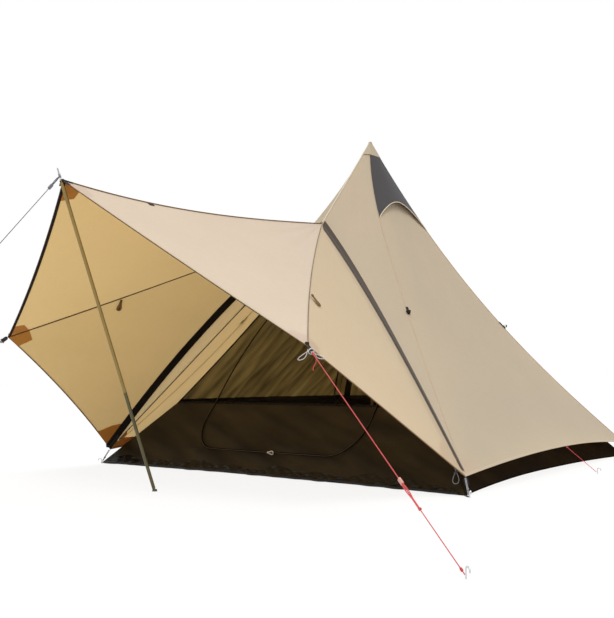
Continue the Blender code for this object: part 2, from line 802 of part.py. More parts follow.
def corner_peg_place(across, forward):
    corner = fly_corner(across, forward)
    return Vector((corner.x + across * CORNER_PEG_OUT, corner.y + forward * CORNER_PEG_OUT, 0))


def corner_tab_ends(across, forward):
    """The webbing tab runs from the fly's corner down towards its peg."""
    corner = fly_corner(across, forward)
    down = (corner_peg_place(across, forward) - corner).normalized()
    return corner + down * SEAM_GAP, corner + down * (SEAM_GAP + TAB_LENGTH)


def strap(name, start, end, width, thick, wide_towards, finish):
    """A flat webbing strap between two points, with rounded ends."""
    along = (end - start).normalized()
    wide = Vector(wide_towards) - along * Vector(wide_towards).dot(along)
    wide.normalize()
    through = along.cross(wide)
    length = (end - start).length
    outline = []
    for sign, centre in ((1, length - width / 2), (-1, width / 2)):
        for k in range(CORNER_STEPS + 1):
            angle = math.pi * k / CORNER_STEPS - math.pi / 2
            outline.append((centre + sign * width / 2 * math.cos(angle),
                            sign * width / 2 * math.sin(angle)))
    mesh = prism_mesh(name, outline, start, along, wide, through, thick)
    return add_object(name, mesh, finish)


def make_corners():
    """Pegs and webbing tabs at all four corners, elastic loops at the two in front."""
    for end_word, forward in (("front", -1), ("back", 1)):
        for word, side in SIDES:
            place = corner_peg_place(side, forward)
            make_peg(f"corner_peg_{end_word}_{word}", place, (side, forward))
            start, end = corner_tab_ends(side, forward)
            strap(f"corner_tab_{end_word}_{word}", start, end, TAB_WIDTH, TAB_THICK,
                  (-forward, side, 0), "dark_trim")
            if forward < 0:
                make_corner_elastic(word, end, place)


def make_corner_elastic(word, tab_end, peg_place):
    outward = (peg_place - Vector((tab_end.x, tab_end.y, 0))).normalized()
    end = peg_place + Vector((0, 0, PEG_NOTCH))
    end -= outward * (PEG_RADIUS + ELASTIC_RADIUS + ELASTIC_SLACK)
    start = tab_end + (end - tab_end).normalized() * (STACK_GAP + ELASTIC_RADIUS)
    points = [start.lerp(end, k / 4) for k in range(5)]
    tube_along(f"corner_elastic_{word}", points, ELASTIC_RADIUS, "grey_line", resolution=1)


def wing_tab_ends(side, run):
    corner = wing_corner(side)
    along = run.normalized()
    return corner + along * SEAM_GAP, corner + along * (SEAM_GAP + TAB_LENGTH)


def guy_right_run():
    return Vector((*GUY_SPREAD, 0)) - wing_corner(1)


def line_between(start, end, count):
    return [start.lerp(end, k / (count - 1)) for k in range(count)]


def end_loop(points):
    """The eye that is knotted into a line's end, laid back along the line."""
    end = points[-1]
    along = (end - points[0]).normalized()
    side = along.cross(Vector((0, 0, 1))).normalized()
    turned = []
    for k in range(1, LOOP_STEPS + 1):
        s = k / LOOP_STEPS
        out = END_LOOP_LENGTH * math.sin(math.pi * s)
        wave = math.sin(2 * math.pi * s) * math.sin(math.pi * s) / LOOP_WAVE_PEAK
        apart = 2.4 * LINE_RADIUS * s * s
        turned.append(end + along * out + side * (END_LOOP_WIDTH / 2 * wave - apart))
    return turned


def make_guylines():
    run = guy_right_run()
    start, end = wing_tab_ends(1, run)
    strap("wing_tab_right", start, end, TAB_WIDTH, TAB_THICK, (0, 0, 1), "dark_trim")
    line_start = end + run.normalized() * STACK_GAP
    peg = Vector((*GUY_SPREAD, 0))
    flat = Vector((run.x, run.y, 0)).normalized()
    make_peg("guy_peg_right", peg, flat)
    line_end = peg + Vector((0, 0, PEG_NOTCH)) - flat * (PEG_RADIUS + LINE_RADIUS + PEG_SLACK)
    points = line_between(line_start, line_end, 20)
    tube_along("guy_right", points, LINE_RADIUS, "red_line")
    runner_on("guy_runner_right", points, RUNNER_RIGHT_PLACE)

    run = Vector(GUY_LEFT_RUN)
    start, end = wing_tab_ends(-1, run)
    strap("wing_tab_left", start, end, TAB_WIDTH, TAB_THICK, (0, 0, 1), "dark_trim")
    line_start = end + run.normalized() * STACK_GAP
    line_end = wing_corner(-1) + run.normalized() * GUY_LEFT_LENGTH
    points = line_between(line_start, line_end, 5)
    tube_along("guy_left", points + end_loop(points), LINE_RADIUS, "grey_line")

    foot, direction, length = awning_pole_line()
    top = foot + direction * (length + GUY_POLE_SEAT)
    ground = Vector((0, -GUY_POLE_GROUND, 0))
    run = (ground - top).normalized()
    line_start = top + run * (SPIKE_RADIUS + LINE_RADIUS)
    points = line_between(line_start, top + run * GUY_POLE_LENGTH, 12)
    tube_along("guy_pole", points + end_loop(points), LINE_RADIUS, "grey_line")
    runner_on("guy_runner_pole", points, RUNNER_POLE_PLACE)

    hem = Vector((HALF_WIDTH + SIDE_HEM_PULL, 0, HEM_HEIGHT + SIDE_HEM_RISE))
    peg = Vector((HALF_WIDTH + SIDE_GUY_OUT, 0, 0))
    make_peg("side_peg_right", peg, (1, 0))
    start = hem + (peg - hem).normalized() * (SEAM_GAP + LINE_RADIUS)
    end = peg + Vector((-(PEG_RADIUS + LINE_RADIUS + PEG_SLACK), 0, PEG_NOTCH))
    tube_along("side_guy_right", line_between(start, end, 6), LINE_RADIUS, "red_line")


def runner_on(name, points, place):
    axis = (points[-1] - points[0]).normalized()
    centre = points[0].lerp(points[-1], place)
    runner = bored_block(name, centre, axis, RUNNER_LENGTH, RUNNER_HALF_WIDTH,
                         RUNNER_HALF_THICK, LINE_RADIUS + RUNNER_FIT)
    origin_on(runner, centre)


def make_ties():
    """The right toggle hangs outside its wing, the left one inside, under the seam."""
    for word, side in SIDES:
        out = outward_of(JUNCTION, wing_corner(side), door_edge(side)(1), side)
        hinge = awning_seam(side)(TIE_PLACE) + out * (TIE_OFF * side)
        fall = Vector((0, 0, -1))
        fall = (fall - out * fall.dot(out)).normalized()
        wide = out.cross(fall)
        toggle = strap(f"tie_toggle_{word}", hinge + fall * TIE_DROP, hinge + fall * TIE_LENGTH,
                       TIE_WIDTH, TAB_THICK, wide, "dark_trim")
        origin_on(toggle, hinge)


def main():
    clear_scene()
    make_fly()
    make_awning()
    make_door_strips()
    make_storm_flaps()
    make_vents()
    make_door_sliders()
    make_inner_tent()
    make_inner_zip()
    make_centre_pole()
    make_awning_pole()
    make_corners()
    make_guylines()
    make_ties()
    print("sub-parts:", sum(not obj.hide_render for obj in bpy.data.objects))


main()
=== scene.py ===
# %% [markdown]
# # A one-pole sun shelter, dressed for its picture
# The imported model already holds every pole, peg, panel and line at its real place and size.
# This lesson gives each of them its finished surface: cloth that lets light through, folds,
# bindings, stitches, zips, cords and knots. Nothing is moved. What replaces a plain solid is
# built on the same edge curves, so it fits without any adjusting. Only the hems of the two
# wings and the lower corners of the two hoods follow the photograph a little closer.

import json
import math

import bmesh
import bpy
import numpy as np
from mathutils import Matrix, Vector
from mathutils.bvhtree import BVHTree

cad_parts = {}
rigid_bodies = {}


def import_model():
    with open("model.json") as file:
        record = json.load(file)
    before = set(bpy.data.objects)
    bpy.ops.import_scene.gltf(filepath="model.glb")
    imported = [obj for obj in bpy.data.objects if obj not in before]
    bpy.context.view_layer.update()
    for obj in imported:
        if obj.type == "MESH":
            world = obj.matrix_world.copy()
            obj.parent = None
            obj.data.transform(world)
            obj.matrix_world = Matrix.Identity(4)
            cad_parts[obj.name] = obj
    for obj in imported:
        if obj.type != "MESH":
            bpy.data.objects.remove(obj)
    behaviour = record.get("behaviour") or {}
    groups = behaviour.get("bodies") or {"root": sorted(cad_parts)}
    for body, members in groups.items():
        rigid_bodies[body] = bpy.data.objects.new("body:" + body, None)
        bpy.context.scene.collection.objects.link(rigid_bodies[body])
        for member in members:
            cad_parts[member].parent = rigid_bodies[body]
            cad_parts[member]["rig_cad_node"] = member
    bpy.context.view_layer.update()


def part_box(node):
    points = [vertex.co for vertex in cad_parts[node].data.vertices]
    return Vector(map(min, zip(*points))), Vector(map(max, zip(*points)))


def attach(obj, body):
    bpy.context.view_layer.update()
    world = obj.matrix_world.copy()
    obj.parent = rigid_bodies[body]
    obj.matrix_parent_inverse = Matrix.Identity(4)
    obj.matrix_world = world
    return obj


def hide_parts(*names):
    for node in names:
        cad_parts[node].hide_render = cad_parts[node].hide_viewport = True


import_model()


# %% [markdown]
# ## Camera, floor and light
# The photograph was taken a little above knee height, from the front right, looking slightly
# up. A long lens would flatten the awning, so the focal length matters as much as the place.
# The light is a plain white sky with a soft sun from high on the right. White around the tent
# comes from the floor and sky as the camera sees them, and not from extra lamps, which would
# bleach the cloth.

# %% Camera at the photograph's place
PHOTO_WIDTH = 614
FOCAL_PIXELS = 818.3
CAMERA_PLACE = (3.4759, -5.6012, 0.6211)
LOOKING_UP, TURNED_LEFT = 0.0872, 0.6375

lens = bpy.data.cameras.new("photo_camera")
lens.sensor_fit = "HORIZONTAL"
lens.sensor_width = 36
lens.lens = FOCAL_PIXELS * lens.sensor_width / PHOTO_WIDTH
lens.clip_start, lens.clip_end = 0.05, 200
camera = bpy.data.objects.new("photo_camera", lens)
camera.location = CAMERA_PLACE
camera.rotation_euler = (math.pi / 2 + LOOKING_UP, 0, TURNED_LEFT)
bpy.context.scene.collection.objects.link(camera)
bpy.context.scene.camera = camera
bpy.context.scene.view_settings.view_transform = "Standard"
print("focal length in mm:", round(lens.lens, 2))


# %% Small helpers for node trees
def srgb(red, green, blue):
    """A colour written as on a screen, from 0 to 255, turned into linear light."""
    parts = [c / 255 for c in (red, green, blue)]
    return tuple(c / 12.92 if c < 0.04045 else ((c + 0.055) / 1.055) ** 2.4 for c in parts) + (1,)


def place(tree, kind, inputs=(), **settings):
    """Adds a node. Its inputs are filled with plain values, or linked to other sockets."""
    node = tree.nodes.new(kind)
    for key, value in settings.items():
        setattr(node, key, value)
    for key, value in dict(inputs).items():
        if isinstance(value, bpy.types.NodeSocket):
            tree.links.new(value, node.inputs[key])
        else:
            node.inputs[key].default_value = value
    return node


def math_node(tree, operation, first, second=0.0, third=0.0):
    values = {0: first, 1: second, 2: third}
    return place(tree, "ShaderNodeMath", values, operation=operation).outputs[0]


def plus(tree, first, second):
    return math_node(tree, "ADD", first, second)


def minus(tree, first, second):
    return math_node(tree, "SUBTRACT", first, second)


def times(tree, first, second):
    return math_node(tree, "MULTIPLY", first, second)


def blended(tree, share, first, second, how="MIX"):
    node = place(tree, "ShaderNodeMix", {0: share, 6: first, 7: second},
                 data_type="RGBA", blend_type=how)
    return node.outputs[2]


# %% New materials and shader groups
def new_material(name):
    material = bpy.data.materials.new(name)
    material.use_nodes = True
    return material, material.node_tree, material.node_tree.nodes["Principled BSDF"]


def add_inputs(tree, inputs):
    """Named inputs, each with a starting value where there is one."""
    for label, kind, value in inputs:
        socket = tree.interface.new_socket(label, in_out="INPUT",
                                           socket_type="NodeSocket" + kind)
        if value is not None:
            socket.default_value = value


def new_group(name, inputs, outputs):
    """A shader group with named inputs and outputs, ready to be filled."""
    group = bpy.data.node_groups.new(name, "ShaderNodeTree")
    add_inputs(group, inputs)
    for label in outputs:
        group.interface.new_socket(label, in_out="OUTPUT", socket_type="NodeSocketFloat")
    return group, group.nodes.new("NodeGroupInput").outputs, group.nodes.new("NodeGroupOutput")


# %% Floor, sky and sun
SKY = 0.80
SUN_STRENGTH, SUN_SPREAD = 1.7, 0.5
SUN_FROM = Vector((0.35, -0.42, 1.2))
FLOOR_REACH, FLOOR_LEVEL, FLOOR_GLOW = 60, -0.0006, 0.86


def white_to_the_eye(tree):
    """1 where the camera, a reflection or glass looks, and 0 for light that falls on things."""
    path = place(tree, "ShaderNodeLightPath")
    seen = math_node(tree, "MAXIMUM", path.outputs["Is Camera Ray"],
                     path.outputs["Is Glossy Ray"])
    return math_node(tree, "MAXIMUM", seen, path.outputs["Is Transmission Ray"])


world = bpy.data.worlds.new("white_sky")
bpy.context.scene.world = world
world.use_nodes = True
sky = world.node_tree
strength = math_node(sky, "MULTIPLY_ADD", white_to_the_eye(sky), 1 - SKY, SKY)
sky.nodes["Background"].inputs["Color"].default_value = (1, 1, 1, 1)
sky.links.new(strength, sky.nodes["Background"].inputs["Strength"])

corners = [(x * FLOOR_REACH, y * FLOOR_REACH, FLOOR_LEVEL)
           for x, y in ((-1, -1), (1, -1), (1, 1), (-1, 1))]
floor_mesh = bpy.data.meshes.new("floor")
floor_mesh.from_pydata(corners, [], [(0, 1, 2, 3)])
floor = bpy.data.objects.new("floor", floor_mesh)
bpy.context.scene.collection.objects.link(floor)
white, tree, shader = new_material("white_floor")
shader.inputs["Base Color"].default_value = (0.80, 0.80, 0.80, 1)
shader.inputs["Roughness"].default_value = 0.9
glow = place(tree, "ShaderNodeEmission", {"Strength": 1.0})
matt = place(tree, "ShaderNodeBsdfDiffuse", {"Color": (0.9, 0.9, 0.9, 1)})
shown = place(tree, "ShaderNodeMixShader",
              {0: FLOOR_GLOW, 1: matt.outputs[0], 2: glow.outputs[0]})
both = place(tree, "ShaderNodeMixShader",
             {0: white_to_the_eye(tree), 1: shader.outputs[0], 2: shown.outputs[0]})
tree.links.new(both.outputs[0], tree.nodes["Material Output"].inputs["Surface"])
floor.data.materials.append(white)

sun_light = bpy.data.lights.new("soft_sun", "SUN")
sun_light.energy = SUN_STRENGTH
sun_light.angle = SUN_SPREAD
sun = bpy.data.objects.new("soft_sun", sun_light)
sun.rotation_euler = SUN_FROM.to_track_quat("Z", "Y").to_euler()
bpy.context.scene.collection.objects.link(sun)
print("sky strength:", SKY, "sun strength:", SUN_STRENGTH)


# %% [markdown]
# ## Edge curves
# A tent is cut on paper from its edges: the hips, the ridge and the hems. Each edge here is
# a small function from 0 at one end to 1 at the other, so a panel, its binding and its stitch
# row can all ask for the same points. A sagging edge is a straight line plus a parabola, and
# a skew moves the lowest point away from the middle.

# %% The tent's measures
PEAK = np.array([0, -0.04, 2.56])
JUNCTION = np.array([0, -0.721, 1.778])
TIP = np.array([0, -3.033, 1.648])
POLE_FOOT = np.array([0, -2.35, 0])
HALF_WIDTH, HEM_HEIGHT = 1.50, 0.105
WALL_HALF, WALL_HEIGHT, FLOOR_HALF = 1.10, 0.45, 1.498
SIDES = (("right", 1), ("left", -1))
UP = np.array([0, 0, 1.0])
HIP_SAG, HIP_SKEW = (0, 0, -0.235), 0.6
DOOR_BOW = (-0.03, -0.02, 0.135)
FAR_CORNER_INSET = (0.07, 0.03)
INNER_PEAK, INNER_SAG, INNER_SKEW = (0, PEAK[1], 2.40), (0, 0, -0.12), 0.6
FRONT_BOW, SIDE_BOW = 0.06, 0.14    # how far the floor's edges bend inwards
print("base:", 2 * HALF_WIDTH, "m wide, peak:", PEAK[2], "m high")


# %% Curves for its edges
def bowed(start, end, bow=(0, 0, 0), skew=0.0):
    """A straight edge and a parabola that moves its middle by bow."""
    start, end, bow = (np.array(v, float) for v in (start, end, bow))
    return lambda t: start + (end - start) * t + bow * (4 * t * (1 - t) * (1 + skew * (0.5 - t)))


def mirrored(bow, side):
    return (bow[0] * side, bow[1], bow[2])


def unit(v):
    return v / max(np.linalg.norm(v), 1e-12)


def span(a, b):
    return float(np.linalg.norm(np.asarray(b) - np.asarray(a)))


def fly_corner(across, forward):
    """A lower corner. The far front one is pegged a hand's breadth further in."""
    inset = FAR_CORNER_INSET if across < 0 and forward < 0 else (0, 0)
    return np.array([across * HALF_WIDTH + inset[0], forward * HALF_WIDTH + inset[1], HEM_HEIGHT])


def hip(across, forward):
    """A hip sags. The front ones are also drawn inwards where the awning pulls on them."""
    slack = bowed(PEAK, fly_corner(across, forward), HIP_SAG, HIP_SKEW)
    pull = np.array([-0.03 * across, -0.037, 0]) * (1 if forward < 0 else 0)
    # strongest a sixth of the way down, where the factor is 1
    return lambda t: slack(t) + pull * (t * (1 - t) ** 5 * 6 ** 6 / 5 ** 5)


def inner_hip(across, forward):
    corner = (across * WALL_HALF, forward * WALL_HALF, WALL_HEIGHT)
    return bowed(INNER_PEAK, corner, INNER_SAG, INNER_SKEW)


def inner_wall_edge(across, forward):
    reach = FLOOR_HALF - 0.006
    return bowed((across * WALL_HALF, forward * WALL_HALF, WALL_HEIGHT),
                 (across * reach, forward * reach, 0.0065))


def door_edge(side):
    return bowed(JUNCTION, fly_corner(side, -1), mirrored(DOOR_BOW, side))


def door_chord(side):
    return bowed(JUNCTION, fly_corner(side, -1))


def wing_corner(side):
    return np.array([side * 1.20, -2.52, 0.78 if side > 0 else 0.90])


def awning_seam(side):
    return bowed(JUNCTION, wing_corner(side), mirrored((-0.02, -0.025, -0.02), side))


AWNING_RIDGE = bowed(JUNCTION, TIP + unit(JUNCTION - TIP) * 0.012, (0, 0, -0.055), -0.6)
POLE_UP = unit(TIP - POLE_FOOT)
print("ridge:", round(span(JUNCTION, TIP), 3), "m, awning pole:", round(span(POLE_FOOT, TIP), 3))


# %% [markdown]
# ## Materials that every piece draws on
# The fly is a cotton blend. In daylight its outside is a pale sand, and from beneath it glows
# golden, because part of the light goes through. Two shaders share that work: the Principled
# one gives what bounces back, and a Translucent one gives what comes through, in a warmer
# colour. The colour that the cloth shows from beneath is painted golden as well: painted glow,
# on top of the light that really comes through. Threads of uneven thickness are long thin
# noise, once along the cloth and once across it. They are built once, as a group, and every
# cloth uses it with its own values.

# %% A weave that every cloth shares
weave, given, out = new_group("Uneven threads", (
    ("UV", "Vector", None), ("Thread", "Float", 0.003), ("Unevenness", "Float", 0.08),
    ("Patchiness", "Float", 0.08), ("Patch size", "Float", 0.6)), ("Shade", "Height"))
per_metre = math_node(weave, "DIVIDE", 1.0, given["Thread"])
threads = []
for stretch in ((1.0, 0.03, 1.0), (0.03, 1.0, 1.0)):
    grown = place(weave, "ShaderNodeVectorMath", {0: given["UV"], 1: stretch},
                  operation="MULTIPLY")
    noise = place(weave, "ShaderNodeTexNoise",
                  {"Vector": grown.outputs[0], "Scale": per_metre, "Detail": 1.0})
    threads.append(noise.outputs[0])
cross = plus(weave, *threads)
blotch = place(weave, "ShaderNodeTexNoise",
               {"Vector": given["UV"], "Detail": 3.0,
                "Scale": math_node(weave, "DIVIDE", 1.0, given["Patch size"])})
uneven = times(weave, minus(weave, cross, 1.0), given["Unevenness"])
blotchy = times(weave, minus(weave, blotch.outputs[0], 0.5), given["Patchiness"])
weave.links.new(plus(weave, plus(weave, uneven, blotchy), 1.0), out.inputs["Shade"])
weave.links.new(times(weave, cross, 0.5), out.inputs["Height"])
print("nodes in the weave:", len(weave.nodes))


# %% One recipe for all cloths
def cloth(name, face, through=None, share=0.0, under=None, through_out=None, rough=0.85,
          thread=0.003, uneven=0.10, patchy=0.10, bump=0.25, alpha=1.0, sheen=0.1, fold_shading=0.0,
          shine=0.25):
    """face bounces light back and through lets it pass. under is the colour seen on the back of a
    face, and through_out the colour of the light that comes through to its front. On the canvas
    both are painted light: under is a golden glow painted in where the cloth is seen from beneath,
    and through_out a dimmer glow for its outside. fold_shading is how much paler the crest of a
    fold is painted, and how much darker its valley: painted highlight and painted shade."""
    material, tree, shader = new_material(name)
    uv = place(tree, "ShaderNodeUVMap", uv_map="UVMap")
    woven = place(tree, "ShaderNodeGroup", node_tree=weave)
    tree.links.new(uv.outputs[0], woven.inputs["UV"])
    for label, value in (("Thread", thread), ("Unevenness", uneven), ("Patchiness", patchy)):
        woven.inputs[label].default_value = value
    relief = place(tree, "ShaderNodeBump", {"Strength": bump, "Distance": 0.001,
                                            "Height": woven.outputs["Height"]})
    shade = woven.outputs["Shade"]
    # painted highlight and painted shade: the cloth is painted paler where the fold wave is high
    # and darker where it is low
    if fold_shading:
        fold = place(tree, "ShaderNodeAttribute", attribute_name="fold").outputs["Fac"]
        shade = times(tree, shade, math_node(tree, "MULTIPLY_ADD", fold, fold_shading, 1.0))
    # seen from the back, a face takes the under colour: on the canvas that is a painted golden
    # glow, for light that comes through
    back = place(tree, "ShaderNodeNewGeometry").outputs["Backfacing"] if under else None
    colour = blended(tree, back, face, under) if under else face
    tree.links.new(blended(tree, 1.0, colour, shade, "MULTIPLY"),
                   shader.inputs["Base Color"])
    tree.links.new(relief.outputs[0], shader.inputs["Normal"])
    shader.inputs["Roughness"].default_value = rough
    shader.inputs["Sheen Weight"].default_value = sheen
    shader.inputs["Specular IOR Level"].default_value = shine
    shader.inputs["Alpha"].default_value = alpha
    if through:
        passed = blended(tree, back, through_out, through) if under else through
        glow = place(tree, "ShaderNodeBsdfTranslucent",
                     {"Color": blended(tree, 1.0, passed, shade, "MULTIPLY"),
                      "Normal": relief.outputs[0]})
        mix = place(tree, "ShaderNodeMixShader",
                    {0: share, 1: shader.outputs[0], 2: glow.outputs[0]})
        tree.links.new(mix.outputs[0], tree.nodes["Material Output"].inputs["Surface"])
    return material


# %% The tent's cloths
# canvas: through the fly the light is a little brighter than through the awning
CANVAS_SHARE = 0.34
GOLD, FLY_GOLD = (0.78, 0.55, 0.24, 1), (1.0, 0.72, 0.33, 1)
OUTER_GLOW = (0.62, 0.45, 0.27, 1)
# the under colours are painted glow: the golden light that comes through the canvas, painted into
# the colour it shows from beneath. The fly's is brighter, painted light for the inside of its
# walls, which lie in shade
UNDERSIDE_GLOW, FLY_UNDERSIDE_GLOW = srgb(206, 178, 124), srgb(244, 210, 146)
# PALE is painted light: the door strips, which are fly canvas, and their zip tapes are painted far
# paler than the fly, for the bright golden light they show, though they lie in shade
PALE, PALE_GLOW = srgb(250, 230, 184), (0.96, 0.84, 0.54, 1)
# one canvas in three tones: the awning's roof, which faces the sky, is painted lightest, the wings
# darker and yellower, and the fly darker still: painted light and painted shade
FLY = cloth("fly_canvas", srgb(206, 190, 165), FLY_GOLD, CANVAS_SHARE, FLY_UNDERSIDE_GLOW, OUTER_GLOW)
AWNING = cloth("awning_canvas", srgb(226, 209, 189), GOLD, CANVAS_SHARE, UNDERSIDE_GLOW, OUTER_GLOW)
WING = cloth("wing_canvas", srgb(214, 194, 163), GOLD, CANVAS_SHARE, UNDERSIDE_GLOW, OUTER_GLOW)
STRIP = cloth("strip_canvas", PALE, PALE_GLOW, 0.15)
CAP_CLOTH = cloth("cap_canvas", srgb(184, 170, 146), (0.4, 0.3, 0.2, 1), 0.15)
# the brown of the patches and the seams is painted shade: two layers of canvas, seen from beneath,
# let less light through
PATCH = cloth("double_canvas", srgb(200, 146, 68), (0.72, 0.40, 0.09, 1), 0.45)
SEAM = cloth("folded_seam", srgb(84, 54, 20), (0.12, 0.06, 0.01, 1), 0.1)
HEM = cloth("folded_hem", srgb(208, 192, 166), (0.5, 0.34, 0.14, 1), 0.25)
HOOD = cloth("hood_cloth", srgb(66, 64, 64), (0.10, 0.08, 0.07, 1), 0.12, uneven=0.25)
FLAP = cloth("flap_cloth", srgb(70, 60, 51), uneven=0.35, thread=0.004)
WEBBING = cloth("dark_webbing", srgb(36, 31, 28), uneven=0.5, thread=0.004, bump=0.7)
BINDING = cloth("brown_binding", srgb(116, 88, 58), uneven=0.4, thread=0.004, bump=0.5)
PIPING = cloth("pale_piping", srgb(206, 196, 174), uneven=0.2, thread=0.004, bump=0.5)
TAPE = cloth("zip_tape", PALE, PALE_GLOW, 0.15, uneven=0.3)
NETTING = cloth("insect_net", srgb(34, 28, 18), alpha=0.30, uneven=0.3, sheen=0.0)
# the inner cloth and the tub cloths below have their folds painted: paler crests and darker
# valleys, painted highlight and painted shade
INNER = cloth("inner_cloth", srgb(149, 138, 104), (0.42, 0.38, 0.23, 1), 0.50, uneven=0.15,
              patchy=0.30, fold_shading=1.4)
TUB_INSIDE = srgb(20, 12, 5)
TUB = cloth("tub_cloth", srgb(30, 20, 7), under=TUB_INSIDE, rough=0.8, uneven=0.3, patchy=1.2,
            sheen=0.0, fold_shading=0.9, shine=0.03)
# the front wall is the tub's cloth painted lighter: painted light, for the daylight that reaches
# it through the open front
TUB_FRONT = cloth("tub_front_cloth", srgb(45, 37, 23), under=TUB_INSIDE, rough=0.6, uneven=0.3,
                  patchy=1.2, sheen=0.0, fold_shading=1.2, shine=0.15)
TUB_EDGE = cloth("crumpled_tub_edge", srgb(18, 14, 9), rough=0.35, uneven=0.5, patchy=1.5,
                 sheen=0.0)
TUB_SEAM = cloth("tub_seam", srgb(14, 10, 5), rough=0.8, uneven=0.3, sheen=0.0, shine=0.05)
DARK_BAND = cloth("dark_band", srgb(20, 13, 9), uneven=0.3, sheen=0.0)
# a near-white strip, painted light: it stands in for the light that shows through the inner tent
# at its back left corner
GREY_STRIP = cloth("grey_strip", srgb(250, 244, 226), (1.0, 0.96, 0.86, 1), 0.85)
print("cloths made:", len(bpy.data.materials) - 1)


# %% [markdown]
# ## Braid, steel and plastic
# A line is braided, so its surface is two sets of slanting ridges that cross. A tube that has
# been pushed into the ground a few times shows scratches along its length and rubbed patches.
# Moulded plastic is plain, but its skin is never quite even.

# %% Braided line
braid, given, out = new_group("Braid", (
    ("UV", "Vector", None), ("Round", "Float", 0.01), ("Pitch", "Float", 0.006)),
    ("Height", "Fleck"))
parts = place(braid, "ShaderNodeSeparateXYZ", {0: given["UV"]})
round_it = math_node(braid, "DIVIDE", parts.outputs[0], given["Round"])
along = math_node(braid, "DIVIDE", parts.outputs[1], given["Pitch"])
TURN = 2 * math.pi
ridges = []
for lean in (plus, minus):
    phase = lean(braid, along, times(braid, round_it, 2.0))
    ridges.append(math_node(braid, "SINE", times(braid, phase, TURN)))
braid.links.new(math_node(braid, "MAXIMUM", *ridges), out.inputs["Height"])
fleck = math_node(braid, "GREATER_THAN", times(braid, *ridges), 0.55)
braid.links.new(fleck, out.inputs["Fleck"])
print("nodes in the braid:", len(braid.nodes))


def line_material(name, colour, fleck_colour, radius):
    material, tree, shader = new_material(name)
    uv = place(tree, "ShaderNodeUVMap", uv_map="UVMap")
    plait = place(tree, "ShaderNodeGroup", node_tree=braid)
    tree.links.new(uv.outputs[0], plait.inputs["UV"])
    plait.inputs["Round"].default_value = TURN * radius
    plait.inputs["Pitch"].default_value = 4 * radius
    relief = place(tree, "ShaderNodeBump", {"Strength": 0.8, "Distance": 0.0004,
                                            "Height": plait.outputs["Height"]})
    tree.links.new(blended(tree, plait.outputs["Fleck"], colour, fleck_colour),
                   shader.inputs["Base Color"])
    tree.links.new(relief.outputs[0], shader.inputs["Normal"])
    shader.inputs["Roughness"].default_value = 0.7
    shader.inputs["Sheen Weight"].default_value = 0.2
    return material


RED_LINE = line_material("red_braid", srgb(196, 34, 42), srgb(228, 128, 124), 0.0019)
GREY_LINE = line_material("grey_braid", srgb(128, 128, 134), srgb(196, 196, 200), 0.0015)
GUY_LINE = line_material("dark_grey_braid", srgb(70, 70, 76), srgb(122, 122, 128), 0.0015)
WHITE_LINE = line_material("pale_elastic", srgb(214, 210, 206), srgb(160, 156, 160), 0.0015)
DARK_LINE = line_material("dark_cord", srgb(70, 52, 38), srgb(110, 90, 66), 0.0015)
TIE = cloth("tie_webbing", srgb(116, 86, 42), uneven=0.5, thread=0.004, bump=0.7)

# %% Scratches, and one recipe for what is hard
worn, given, out = new_group("Scratches", (("Scale", "Float", 40.0),), ("Shade", "Height"))
spot = place(worn, "ShaderNodeTexCoord").outputs["Object"]
noises = []
for stretch, detail in (((1.0, 1.0, 0.04), 4.0), ((0.25, 0.25, 0.25), 3.0)):
    grown = place(worn, "ShaderNodeVectorMath", {0: spot, 1: stretch}, operation="MULTIPLY")
    noises.append(place(worn, "ShaderNodeTexNoise", {"Vector": grown.outputs[0],
                                                     "Scale": given["Scale"],
                                                     "Detail": detail}).outputs[0])
worn.links.new(plus(worn, *noises), out.inputs["Shade"])
worn.links.new(noises[0], out.inputs["Height"])


def hard_material(name, colour, metallic, rough, scale=40.0, uneven=0.35, bump=0.15):
    """Metal or plastic whose tone and shine vary a little, with fine lines in its skin."""
    material, tree, shader = new_material(name)
    marks = place(tree, "ShaderNodeGroup", node_tree=worn)
    marks.inputs["Scale"].default_value = scale
    shade = math_node(tree, "MULTIPLY_ADD", marks.outputs["Shade"], uneven, 1.0 - uneven)
    tree.links.new(blended(tree, 1.0, colour, shade, "MULTIPLY"), shader.inputs["Base Color"])
    tree.links.new(math_node(tree, "MULTIPLY_ADD", marks.outputs["Shade"], 0.3, rough - 0.3),
                   shader.inputs["Roughness"])
    relief = place(tree, "ShaderNodeBump", {"Strength": bump, "Distance": 0.0005,
                                            "Height": marks.outputs["Height"]})
    tree.links.new(relief.outputs[0], shader.inputs["Normal"])
    shader.inputs["Metallic"].default_value = metallic
    return material


# %% Metal, plastic and thread of the tent
POLE = hard_material("olive_tube", srgb(147, 125, 76), 0.75, 0.45)
POLE_LOW = hard_material("dark_olive_tube", srgb(94, 89, 64), 0.75, 0.45)
TUBE_TOP = POLE.copy()
TUBE_TOP.name = "olive_tube_with_spike"
tree = TUBE_TOP.node_tree
spot = place(tree, "ShaderNodeTexCoord").outputs["Object"]
height = place(tree, "ShaderNodeVectorMath", {0: spot, 1: tuple(POLE_UP)}, operation="DOT_PRODUCT")
on_spike = math_node(tree, "GREATER_THAN", height.outputs["Value"],
                     float((TIP + POLE_UP * 0.001) @ POLE_UP))
tube_colour = tree.nodes["Principled BSDF"].inputs["Base Color"]
spike_colour = blended(tree, on_spike, tube_colour.links[0].from_socket, srgb(168, 168, 170))
tree.links.new(spike_colour, tube_colour)
STEEL = hard_material("plain_steel", srgb(216, 216, 220), 1.0, 0.4, 90)
BLACK = hard_material("black_plastic", srgb(34, 33, 32), 0.0, 0.55, 60)
RUNNER = hard_material("pale_red_plastic", srgb(206, 150, 138), 0.0, 0.5, 60)
GREY_RUNNER = hard_material("grey_plastic", srgb(104, 104, 110), 0.0, 0.5, 60)
CUP = hard_material("sand_plastic", srgb(170, 154, 124), 0.0, 0.6, 60)
